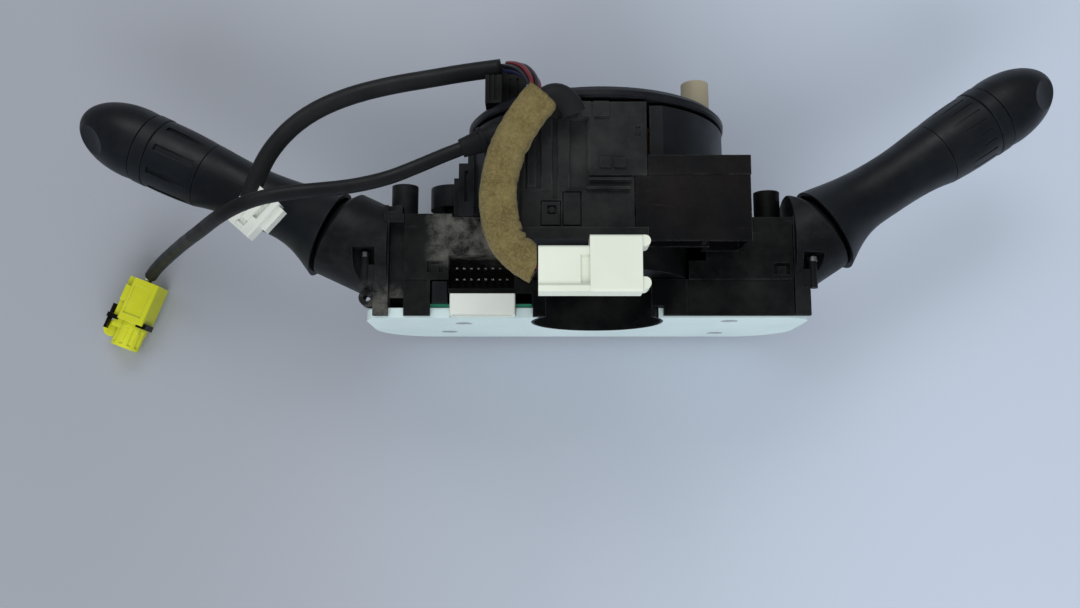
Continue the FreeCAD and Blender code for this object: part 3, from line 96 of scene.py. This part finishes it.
class Surface:
    """One procedural material and the few node patterns that it is made of."""

    def __init__(self, name):
        self.material = bpy.data.materials.new(name)
        self.material.use_nodes = True
        self.tree = self.material.node_tree
        self.shader = self.tree.nodes["Principled BSDF"]
        self.place = self.tree.nodes.new("ShaderNodeTexCoord").outputs["Object"]
        self.normal = None

    def node(self, kind, inputs=None, **settings):
        made = self.tree.nodes.new("ShaderNode" + kind)
        for name, value in settings.items():
            setattr(made, name, value)
        for key, value in (inputs or {}).items():
            if isinstance(value, bpy.types.NodeSocket):
                self.tree.links.new(value, made.inputs[key])
            else:
                made.inputs[key].default_value = value
        return made

    def noise(self, size, detail=3.0, rough=0.55, stretch=None):
        """Noise whose blotches are about size metres across, from 0 to 1."""
        place = self.place
        if stretch:
            place = self.node("Mapping", {"Vector": place, "Scale": stretch}).outputs["Vector"]
        return self.node("TexNoise", {"Vector": place, "Scale": 0.5 / size, "Detail": detail,
                                      "Roughness": rough}).outputs["Fac"]

    def remap(self, value, low, high, to_low=0.0, to_high=1.0, smooth=False):
        kind = "SMOOTHSTEP" if smooth else "LINEAR"
        return self.node("MapRange", {"Value": value, "From Min": low, "From Max": high, "To Min": to_low,
                                      "To Max": to_high}, interpolation_type=kind).outputs["Result"]

    def math(self, operation, a, b=0.0):
        return self.node("Math", {0: a, 1: b}, operation=operation).outputs[0]

    def mix(self, factor, a, b):
        made = self.node("Mix", {0: factor}, data_type="RGBA")
        for index, value in ((6, a), (7, b)):
            if isinstance(value, bpy.types.NodeSocket):
                self.tree.links.new(value, made.inputs[index])
            else:
                made.inputs[index].default_value = (*value, 1.0)
        return made.outputs[2]

    def axis(self, letter):
        return self.node("SeparateXYZ", {0: self.place}).outputs[letter]

    def within(self, low, high):
        """1 inside a box, falling to 0 just outside it."""
        found = None
        for letter, a, b in zip("XYZ", low, high):
            here = self.axis(letter)
            both = self.math("MULTIPLY", self.remap(here, a - BOX_SOFT, a, smooth=True),
                             self.remap(here, b + BOX_SOFT, b, smooth=True))
            found = both if found is None else self.math("MULTIPLY", found, both)
        return found

    def rounded(self, radius):
        """The normal of the surface with its sharp edges rounded."""
        return self.node("Bevel", {"Radius": radius}, samples=BEVEL_SAMPLES).outputs["Normal"]

    def bevel(self, radius):
        """Softens the light on sharp edges."""
        self.normal = self.rounded(radius)

    def edges(self):
        """1 on worn edges, 0 on flat faces."""
        flat = self.node("NewGeometry").outputs["Normal"]
        turned = self.node("VectorMath", {0: self.rounded(WORN_EDGE), 1: flat}, operation="DOT_PRODUCT")
        return self.remap(turned.outputs["Value"], FLAT_COSINE, EDGE_COSINE)

    def bump(self, height, depth, strength=1.0):
        inputs = {"Height": height, "Distance": depth, "Strength": strength}
        if self.normal:
            inputs["Normal"] = self.normal
        self.normal = self.node("Bump", inputs).outputs["Normal"]

    def colour(self, value):
        if isinstance(value, bpy.types.NodeSocket):
            self.tree.links.new(value, self.shader.inputs["Base Color"])
        else:
            self.shader.inputs["Base Color"].default_value = (*value, 1.0)

    def rough(self, value):
        if isinstance(value, bpy.types.NodeSocket):
            self.tree.links.new(value, self.shader.inputs["Roughness"])
        else:
            self.shader.inputs["Roughness"].default_value = value

    def set(self, **values):
        for name, value in values.items():
            self.shader.inputs[name.replace("_", " ")].default_value = value

    def done(self):
        if self.normal:
            self.tree.links.new(self.normal, self.shader.inputs["Normal"])
        return self.material


# Sizes of the patterns on moulded plastic
BLOTCH = 0.02
DUST_FILM = 0.009
HEAVY_DUST = 0.004
DUST_SPECK = 0.0007
SCUFF = 0.004
SCUFF_STRETCH = (0.35, 3.0, 1.0)
WORN_PATCH = 0.003
POLISH = 0.006
EDGE_RADIUS = 0.00035
GRAIN_STRENGTH = 0.5


def moulded(name, dark, light, rough, gloss=0.4, grain=0.00022, grain_depth=0.00002,
            wear=(0.045, 0.048, 0.052), scuffs=0.0, dust=0.0, dust_colour=(0.10, 0.098, 0.088),
            dust_place=None):
    """Moulded plastic: blotchy colour, fine grain, pale worn edges, scuffs and a film of dust.

    dust_place is a box in metres, (low corner, high corner), where the dust lies thicker.
    """
    s = Surface(name)
    blotch = s.remap(s.noise(BLOTCH, 4.0), 0.35, 0.65)
    colour = s.mix(blotch, dark, light)
    if dust:
        film = s.math("MULTIPLY", s.remap(s.noise(DUST_FILM, 6.0, 0.7), 0.42, 0.72), dust)
        if dust_place:
            patches = s.remap(s.noise(HEAVY_DUST, 7.0, 0.75), 0.40, 0.62)
            film = s.math("MAXIMUM", film, s.math("MULTIPLY", s.within(*dust_place), patches))
        specks = s.math("MULTIPLY", s.remap(s.noise(DUST_SPECK, 2.0), 0.70, 0.76), dust)
        colour = s.mix(s.math("MAXIMUM", film, specks), colour, dust_colour)
    if scuffs:
        streaks = s.remap(s.noise(SCUFF, 3.0, 0.6, stretch=SCUFF_STRETCH), 0.68, 0.74)
        colour = s.mix(s.math("MULTIPLY", streaks, scuffs), colour, wear)
    worn = s.math("MULTIPLY", s.edges(), s.remap(s.noise(WORN_PATCH, 4.0), 0.4, 0.62, 0.08, 0.6))
    s.colour(s.mix(worn, colour, wear))
    s.rough(s.remap(s.noise(POLISH, 5.0, 0.65), 0.3, 0.7, rough - 0.07, rough + 0.1))
    s.set(Specular_IOR_Level=gloss)
    s.bevel(EDGE_RADIUS)
    s.bump(s.noise(grain, 2.0), grain_depth, GRAIN_STRENGTH)
    return s.done()


def paint(node_name, material):
    """Gives a CAD node one material in place of its own."""
    obj = nodes[node_name]
    obj.data.materials.clear()
    obj.data.materials.append(material)
    for polygon in obj.data.polygons:
        polygon.material_index = 0


# Each has its darker and lighter colour, and then its roughness
black = moulded("black_housing", (0.0016, 0.0020, 0.0025), (0.0036, 0.0042, 0.0049), 0.50,
                gloss=0.2, scuffs=0.35, dust=0.11,
                dust_place=((-0.064, 0.024, 0.006), (-0.036, 0.043, 0.02)))
case = moulded("case_plastic", (0.0030, 0.0038, 0.0050), (0.0062, 0.0074, 0.0092), 0.50,
               gloss=0.28, scuffs=0.3, dust=0.14,
               dust_place=((-0.092, 0.002, 0.009), (-0.080, 0.010, 0.02)))
# The ribbed cover's colours are greyer than the housing's, with paler rib edges and more dust: partly dust,
# partly painted highlight for the light on its ribs
cover_dust_and_highlight = moulded("cover_plastic_dust_and_highlight", (0.0060, 0.0070, 0.0080), (0.0120, 0.0132, 0.0142), 0.46,
                gloss=0.3, dust=0.20, wear=(0.075, 0.078, 0.080))
stalk = moulded("stalk_plastic", (0.0040, 0.0056, 0.0082), (0.0075, 0.0100, 0.0136), 0.42,
                gloss=0.3, dust=0.05, grain=0.00016, grain_depth=0.000012, wear=(0.030, 0.034, 0.040))
drum = moulded("drum_plastic", (0.0034, 0.0048, 0.0070), (0.0068, 0.0088, 0.0120), 0.40,
               gloss=0.3, dust=0.06)
shiny = moulded("box_plastic", (0.0030, 0.0032, 0.0040), (0.0056, 0.0060, 0.0068), 0.24,
                dust=0.06, dust_colour=(0.10, 0.050, 0.022), grain=0.0006, grain_depth=0.000004, scuffs=0.2)
white = moulded("white_nylon", (0.66, 0.70, 0.65), (0.75, 0.79, 0.73), 0.38, wear=(0.74, 0.78, 0.72))
tray = moulded("tray_plastic", (0.57, 0.71, 0.715), (0.64, 0.78, 0.785), 0.34, wear=(0.62, 0.72, 0.72))
ivory = moulded("ivory_nylon", (0.72, 0.77, 0.66), (0.79, 0.84, 0.73), 0.34, wear=(0.84, 0.88, 0.78))
cream = moulded("cream_nylon", (0.30, 0.265, 0.18), (0.40, 0.36, 0.25), 0.45, wear=(0.46, 0.42, 0.31))
yellow = moulded("yellow_nylon", (0.52, 0.55, 0.012), (0.68, 0.72, 0.03), 0.33, wear=(0.80, 0.82, 0.18))
gear = moulded("gear_nylon", (0.56, 0.56, 0.52), (0.64, 0.64, 0.60), 0.45)
board = moulded("solder_mask", (0.02, 0.20, 0.12), (0.03, 0.28, 0.17), 0.3, wear=(0.3, 0.45, 0.3))
rubber = moulded("rubber", (0.007, 0.008, 0.009), (0.013, 0.014, 0.015), 0.62,
                 gloss=0.3, wear=(0.03, 0.03, 0.03))
film = moulded("ribbon_film", (0.35, 0.16, 0.03), (0.45, 0.22, 0.05), 0.25)


def metal(name, colour, rough):
    s = Surface(name)
    s.set(Metallic=1.0)
    tone = s.remap(s.noise(0.0015, 5.0), 0.3, 0.7)
    s.colour(s.mix(tone, [c * 0.75 for c in colour], colour))
    s.rough(s.remap(s.noise(0.0008, 4.0), 0.3, 0.7, rough - 0.08, rough + 0.12))
    s.bevel(0.0002)
    return s.done()


steel = metal("zinc_steel", (0.66, 0.66, 0.66), 0.3)
tin = metal("tinned_contact", (0.80, 0.78, 0.72), 0.25)
blackened = metal("blackened_spring", (0.04, 0.04, 0.04), 0.4)

STALK_FINISH = {
    "lever": stalk, "grip_ring": stalk, "grip_collar": stalk, "end_cap": stalk, "switch_case": case,
    "case_screw": steel, "pivot_pin": steel, "detent_plunger": steel, "yoke": gear}
FINISH = {
    "base_housing": black, "cable_guide": black, "sensor_case": black, "sensor_lid": black,
    "ribbed_cover": cover_dust_and_highlight, "stator_body": drum, "rotor_disc": drum, "rotor_hub": drum, "board_relay": drum,
    "sensor_chips": drum, "connector_box": shiny, "pcb_tray": tray, "circuit_board": board,
    "sensor_board": board, "board_header": white, "white_plug": white, "ivory_plug": ivory,
    "yellow_plug": yellow, "drive_pin": cream, "cable_grommet": rubber, "rubber_elbow": rubber,
    "spiral_ribbon": film, "cancel_cam": gear, "sensor_ring_gear": gear, "measuring_gear_a": gear,
    "measuring_gear_b": gear, "header_pins": tin, "pocket_contacts": tin, "box_contacts": tin,
    "tray_screws": steel, "lug_screws": steel, "shorting_clip": blackened}
for side in ("left", "right"):
    for piece, material in STALK_FINISH.items():
        paint(side + "_" + piece, material)
for node_name, material in FINISH.items():
    paint(node_name, material)


def sleeving(name):
    """Soft black tubing, fine in grain and a little uneven."""
    s = Surface(name)
    tone = s.remap(s.noise(0.012, 4.0), 0.35, 0.65)
    s.colour(s.mix(tone, (0.006, 0.0072, 0.0085), (0.014, 0.0155, 0.0175)))
    s.rough(s.remap(s.noise(0.004, 4.0), 0.3, 0.7, 0.42, 0.62))
    s.set(Specular_IOR_Level=0.35)
    s.bump(s.noise(0.0005, 3.0), 0.00004, 0.6)
    s.bump(s.noise(0.006, 2.0), 0.0003, 0.35)
    return s.done()


def wire(name, colour):
    s = Surface(name)
    s.colour(s.mix(s.remap(s.noise(0.004), 0.3, 0.7), [c * 0.7 for c in colour], colour))
    s.rough(0.4)
    return s.done()


def felt_material():
    """Felt: two tans in blotches, pale fibres and dark specks."""
    s = Surface("felt")
    tone = s.remap(s.noise(0.005, 6.0, 0.7), 0.32, 0.68)
    colour = s.mix(tone, (0.095, 0.074, 0.023), (0.215, 0.170, 0.066))
    fibre = s.remap(s.noise(0.0005, 6.0, 0.8), 0.42, 0.66)
    colour = s.mix(s.math("MULTIPLY", fibre, 0.75), colour, (0.29, 0.240, 0.110))
    dark = s.remap(s.noise(0.0009, 4.0, 0.7), 0.62, 0.70)
    s.colour(s.mix(s.math("MULTIPLY", dark, 0.6), colour, (0.045, 0.034, 0.014)))
    s.rough(0.95)
    s.set(Sheen_Weight=0.1, Sheen_Roughness=0.5, Specular_IOR_Level=0.1)
    s.bump(s.noise(0.0004, 6.0, 0.85), 0.0005, 1.0)
    return s.done()


def print_material():
    s = Surface("index_print")
    s.colour((0.42, 0.46, 0.50))
    s.rough(s.remap(s.noise(0.001), 0.3, 0.7, 0.4, 0.6))
    return s.done()


tubing = sleeving("tube_sleeving")
wires = [wire("wire_black", (0.012, 0.012, 0.014)), wire("wire_red", (0.18, 0.008, 0.015)),
         wire("wire_blue", (0.012, 0.02, 0.07))]


# Harness

SPLINE_STEPS = 10
TUBE_SIDES = 18
WIRE_SIDES = 10
WIRE_R = 0.00085
BUNDLE_WIRES = (0, 1, 0, 2, 0, 1, 0)    # colours of the six outer wires and the middle one
BUNDLE_TWIST = 2.5                      # radians from end to end
BARE_END = 0.0052                       # stretch before the yellow plug where the two wires show
BARE_WIRE_R = 0.00095
BARE_SPREAD = 0.0012


def new_object(name, data):
    obj = bpy.data.objects.new(name, data)
    bpy.context.scene.collection.objects.link(obj)
    return obj


def mesh_object(name, verts, faces, materials):
    mesh = bpy.data.meshes.new(name)
    mesh.from_pydata(verts, [], faces)
    for material in materials:
        mesh.materials.append(material)
    return new_object(name, mesh)


def smooth_quads(obj):
    for polygon in obj.data.polygons:
        polygon.use_smooth = len(polygon.vertices) == 4


def spline(name, route):
    """A smooth NURBS curve on the route's points, with no thickness."""
    data = bpy.data.curves.new(name, "CURVE")
    data.dimensions = "3D"
    data.resolution_u = SPLINE_STEPS
    line = data.splines.new("NURBS")
    line.points.add(len(route) - 1)
    for point, place in zip(line.points, route):
        point.co = (*place, 1.0)
    line.order_u = 3
    line.use_endpoint_u = True
    return new_object(name, data)


def centreline(route):
    """Points along the route's spline. The spline itself isn't kept."""
    obj = spline("guide_line", route)
    mesh = bpy.data.meshes.new_from_object(obj.evaluated_get(bpy.context.evaluated_depsgraph_get()))
    points = [v.co.copy() for v in mesh.vertices]
    bpy.data.meshes.remove(mesh)
    bpy.data.objects.remove(obj)
    return points


def direction(points, i):
    """Unit vector along the line at its point i."""
    return (points[min(i + 1, len(points) - 1)] - points[max(i - 1, 0)]).normalized()


def cross_frames(points):
    """Each point with two directions across the line, turned as little as possible."""
    found = []
    side = direction(points, 0).orthogonal().normalized()
    for i, here in enumerate(points):
        along = direction(points, i)
        side = (side - along * side.dot(along)).normalized()
        found.append((here, side, along.cross(side)))
    return found


def around(a, b, turn, radius):
    """A step of length radius from the line, turned from direction a toward b."""
    return (a * math.cos(turn) + b * math.sin(turn)) * radius


def tube_mesh(name, strands, materials, sides=TUBE_SIDES):
    """Closed tubes in one mesh, one for each (points, radius, index of its material)."""
    verts, faces, chosen = [], [], []
    for points, radius, index in strands:
        first = len(verts)
        rows = cross_frames(points)
        for here, a, b in rows:
            verts += [here + around(a, b, math.tau * k / sides, radius) for k in range(sides)]
        for i in range(len(rows) - 1):
            row, after = first + i * sides, first + (i + 1) * sides
            for k in range(sides):
                n = (k + 1) % sides
                faces.append((row + k, row + n, after + n, after + k))
        last = first + (len(rows) - 1) * sides
        faces.append(tuple(first + k for k in reversed(range(sides))))
        faces.append(tuple(last + k for k in range(sides)))
        chosen += [index] * (len(faces) - len(chosen))
    obj = mesh_object(name, verts, faces, materials)
    smooth_quads(obj)
    for polygon, index in zip(obj.data.polygons, chosen):
        polygon.material_index = index
    return obj


def thin_strands(points):
    """The thin cable's sleeving, then a short stretch of its two wires before the plug."""
    left = BARE_END
    cut = len(points) - 1
    while left > 0:
        left -= (points[cut] - points[cut - 1]).length
        cut -= 1
    strands = [(points[:cut + 1], THIN_R, 0)]
    tail = cross_frames(points[cut - 2:])
    for sign, index in ((-1, 1), (1, 2)):
        strands.append(([here + a * sign * BARE_SPREAD for here, a, b in tail], BARE_WIRE_R, index))
    return strands


def bundle_strands(points):
    """Six wires twisted round a seventh."""
    rows = cross_frames(points)
    outer = len(BUNDLE_WIRES) - 1
    strands = []
    for k, index in enumerate(BUNDLE_WIRES):
        reach = 0.0 if k == outer else BUNDLE_R - WIRE_R
        line = [here + around(a, b, math.tau * k / outer + BUNDLE_TWIST * i / len(rows), reach)
                for i, (here, a, b) in enumerate(rows)]
        strands.append((line, WIRE_R, index))
    return strands


thick_points = centreline(THICK_ROUTE)
thick = tube_mesh("thick_tube_sleeving", [(thick_points, THICK_R, 0)], [tubing])
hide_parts("thick_tube")
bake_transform(thick)

thin_points = centreline(THIN_ROUTE)
thin = tube_mesh("thin_cable_sleeving", thin_strands(thin_points), [tubing, wires[0], white])
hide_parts("thin_cable")
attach(thin, "base")

bundle_points = centreline(BUNDLE_ROUTE)
bundle = tube_mesh("wire_strands", bundle_strands(bundle_points), wires, sides=WIRE_SIDES)
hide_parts("wire_bundle")
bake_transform(bundle)

# Felt sleeve

FELT_WIDTH = 0.0138
FELT_THICK = 0.0094
FELT_WALL = 0.0019
FELT_SIDES = 88
FELT_END_X = -0.0241          # the face of the ivory plug, less a small gap
FELT_END_Y = 0.030            # below this, the felt stops at FELT_END_X
WIDE_POWER = 0.62             # these two make the section a rounded box
THICK_POWER = 0.72
# Each layer of the nap: waves in a metre, height of its bumps
NAP_LAYERS = ((420, 0.00030), (1500, 0.00016))
LUMPS, LUMP_HEIGHT, LUMP_SHIFT = 110, 0.00035, Vector((3, 1, 2))
NAP_SINK = 0.00025
# Creases on the inner side of the bends: share of the length, depth
CREASES = ((0.80, 0.0011), (0.87, 0.0009), (0.30, 0.0006), (0.72, 0.0005))
CREASE_SHARE = 0.012
LIP_RINGS = 3                 # rings of the inner wall at each open end
LIP_DEPTH = 0.004
LIP_NAP = 0.4
START_PINCH, END_PINCH, PINCH_SHARE = 0.05, 0.03, 0.05


def bell(value, width):
    return math.exp(-(value / width) ** 2)


def felt_ring(here, across, half_w, half_t, nap, share):
    """One ring of the felt's surface, at a share of its length."""
    ring = []
    for k in range(FELT_SIDES):
        turn = math.tau * k / FELT_SIDES
        c, q = math.cos(turn), math.sin(turn)
        wide = math.copysign(abs(c) ** WIDE_POWER, c)
        tall = math.copysign(abs(q) ** THICK_POWER, q)
        spot = here + across * wide * half_w + UP * tall * half_t
        height = sum(noise.noise(spot * waves) * bump for waves, bump in NAP_LAYERS) - NAP_SINK
        height += noise.noise(spot * LUMPS + LUMP_SHIFT) * LUMP_HEIGHT
        for at, depth in CREASES:
            height -= depth * bell(share - at, CREASE_SHARE) * max(0.0, -wide)
        spot += (across * wide + UP * tall).normalized() * nap * height
        if spot.y < FELT_END_Y:
            spot.x = min(spot.x, FELT_END_X)
        ring.append(spot)
    return ring


def felt_wrap():
    """Flattened sleeve of felt, swept on its middle line, with open ends, creases and a napped surface."""
    line = centreline(FELT_ROUTE)
    rows = []
    for i, here in enumerate(line):
        along = direction(line, i)
        rows.append((here, along, along.cross(UP).normalized()))
    half_w, half_t = FELT_WIDTH / 2, FELT_THICK / 2
    inner = (half_w - FELT_WALL, half_t - FELT_WALL, LIP_NAP)
    steps = [LIP_DEPTH * step / (LIP_RINGS - 1) for step in range(LIP_RINGS)]
    here, along, across = rows[0]
    rings = [felt_ring(here + along * deep, across, *inner, 0.0) for deep in reversed(steps)]
    for i, (here, along, across) in enumerate(rows):
        share = i / (len(rows) - 1)
        swell = 1.0 - START_PINCH * bell(share, PINCH_SHARE) - END_PINCH * bell(1 - share, PINCH_SHARE)
        rings.append(felt_ring(here, across, half_w * swell, half_t * swell, 1.0, share))
    here, along, across = rows[-1]
    rings += [felt_ring(here - along * deep, across, *inner, 1.0) for deep in steps]
    faces = []
    for i in range(len(rings) - 1):
        row, after = i * FELT_SIDES, (i + 1) * FELT_SIDES
        for k in range(FELT_SIDES):
            n = (k + 1) % FELT_SIDES
            faces.append((row + k, row + n, after + n, after + k))
    obj = mesh_object("felt_wrap", [spot for ring in rings for spot in ring], faces, [felt_material()])
    smooth_quads(obj)
    return obj


felt = felt_wrap()
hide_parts("felt_sleeve")
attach(felt, "base")

# Index line on the right ring

# The right stalk's own line: where it starts, its angle in degrees and its lift across
RIGHT_PIVOT = Vector((0.0735, 0.0242, 0.0))
RIGHT_ANGLE = 33.5
STALK_LIFT = 0.0012
# The tapered ring: where it starts along the stalk, its length and its radius at each end
RING_START, RING_LENGTH = 0.08125, 0.0222
RING_R0, RING_R1 = 0.0137, 0.0146
# The line on it: from and to along the stalk, and its turn and half width in degrees
MARK_FROM, MARK_TO = 0.0834, 0.0902
MARK_TURN = 18.0
MARK_HALF = 3.2
MARK_STEPS = 6
MARK_THICK = 0.00008


def ring_reach(far):
    """Radius of the tapered ring at a distance along the stalk."""
    return RING_R0 + (RING_R1 - RING_R0) * (far - RING_START) / RING_LENGTH


def index_mark():
    """A thin printed line, laid on the ring's surface."""
    turn = math.radians(RIGHT_ANGLE)
    along = Vector((math.cos(turn), math.sin(turn), 0))
    across = Vector((-math.sin(turn), math.cos(turn), 0))
    verts, faces = [], []
    for i in range(MARK_STEPS + 1):
        far = MARK_FROM + (MARK_TO - MARK_FROM) * i / MARK_STEPS
        for column in (-1, 0, 1):
            angle = math.radians(MARK_TURN + MARK_HALF * column)
            for lift in (0.0, MARK_THICK):
                out = around(across, UP, angle, ring_reach(far) + lift)
                verts.append(RIGHT_PIVOT + along * far + across * STALK_LIFT + out)

    def at(i, j, layer):
        return (i * 3 + j) * 2 + layer

    for i in range(MARK_STEPS):
        for j in (0, 1):
            faces.append((at(i, j, 1), at(i + 1, j, 1), at(i + 1, j + 1, 1), at(i, j + 1, 1)))
            faces.append((at(i, j, 0), at(i, j + 1, 0), at(i + 1, j + 1, 0), at(i + 1, j, 0)))
        faces.append((at(i, 0, 0), at(i + 1, 0, 0), at(i + 1, 0, 1), at(i, 0, 1)))
        faces.append((at(i, 2, 1), at(i + 1, 2, 1), at(i + 1, 2, 0), at(i, 2, 0)))
    for j in (0, 1):
        faces.append((at(0, j + 1, 0), at(0, j + 1, 1), at(0, j, 1), at(0, j, 0)))
        faces.append((at(MARK_STEPS, j, 0), at(MARK_STEPS, j, 1), at(MARK_STEPS, j + 1, 1),
                      at(MARK_STEPS, j + 1, 0)))
    obj = mesh_object("index_mark", verts, faces, [print_material()])
    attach(obj, "right_ring")


index_mark()

# Stage

TABLE_HALF = 3.0
# The table's colour is painted darker to the left of the object than to the right: painted shade for the
# light falling off toward the left
SHADE_LEFT_X, SHADE_RIGHT_X = -0.24, 0.20
TABLE_SHADED_LEFT = (0.350, 0.375, 0.420)
TABLE_LIT_RIGHT = (0.545, 0.620, 0.730)
TABLE_ROUGH = 0.32


def table():
    s = Surface("table_top_painted_shade")
    # painted shade: the colour runs from the darker left to the lighter right
    across = s.remap(s.axis("X"), SHADE_LEFT_X, SHADE_RIGHT_X, smooth=True)
    s.colour(s.mix(across, TABLE_SHADED_LEFT, TABLE_LIT_RIGHT))
    s.rough(TABLE_ROUGH)
    corners = [(x * TABLE_HALF, y * TABLE_HALF, FLOOR_Z) for x, y in ((-1, -1), (1, -1), (1, 1), (-1, 1))]
    mesh_object("table", corners, [(0, 1, 2, 3)], [s.done()])


table()

LIGHT_AIM = Vector((0, 0.03, 0))
WORLD_COLOUR = (0.94, 0.96, 1.0, 1.0)
WORLD_LIGHT = 0.56
WORLD_IN_GLOSS = 0.11         # reflections see a darker room


def area_light(name, place, size, power, in_gloss=True):
    data = bpy.data.lights.new(name, "AREA")
    data.shape = "RECTANGLE"
    data.size, data.size_y = size
    data.energy = power
    obj = new_object(name, data)
    obj.location = place
    obj.rotation_euler = (LIGHT_AIM - Vector(place)).to_track_quat("-Z", "Y").to_euler()
    obj.visible_glossy = in_gloss


area_light("key", (-0.15, 0.95, 1.05), (1.0, 0.5), 4.6)
area_light("front", (-0.05, -1.25, 0.95), (1.5, 0.8), 16.0, in_gloss=False)


def studio_world():
    world = bpy.data.worlds.new("studio")
    world.use_nodes = True
    tree = world.node_tree
    background = tree.nodes["Background"]
    background.inputs["Color"].default_value = WORLD_COLOUR
    rays = tree.nodes.new("ShaderNodeLightPath")
    level = tree.nodes.new("ShaderNodeMapRange")
    level.inputs["To Min"].default_value = WORLD_LIGHT
    level.inputs["To Max"].default_value = WORLD_IN_GLOSS
    tree.links.new(rays.outputs["Is Glossy Ray"], level.inputs["Value"])
    tree.links.new(level.outputs["Result"], background.inputs["Strength"])
    bpy.context.scene.world = world


studio_world()
bpy.context.scene.view_settings.view_transform = "Standard"

# Camera at the photograph's view

SENSOR_WIDTH = 36.0
PHOTO_WIDTH = 1080            # pixels
FOCAL_LENGTH = 1060           # in the same pixels
CAMERA_PLACE = (-0.023, -0.0598, 0.4247)
CAMERA_TILT = 9.0             # degrees from straight down

camera_data = bpy.data.cameras.new("camera")
camera_data.sensor_width = SENSOR_WIDTH
camera_data.lens = SENSOR_WIDTH * FOCAL_LENGTH / PHOTO_WIDTH
camera = new_object("camera", camera_data)
camera.location = CAMERA_PLACE
camera.rotation_euler = (math.radians(CAMERA_TILT), 0.0, 0.0)
bpy.context.scene.camera = camera
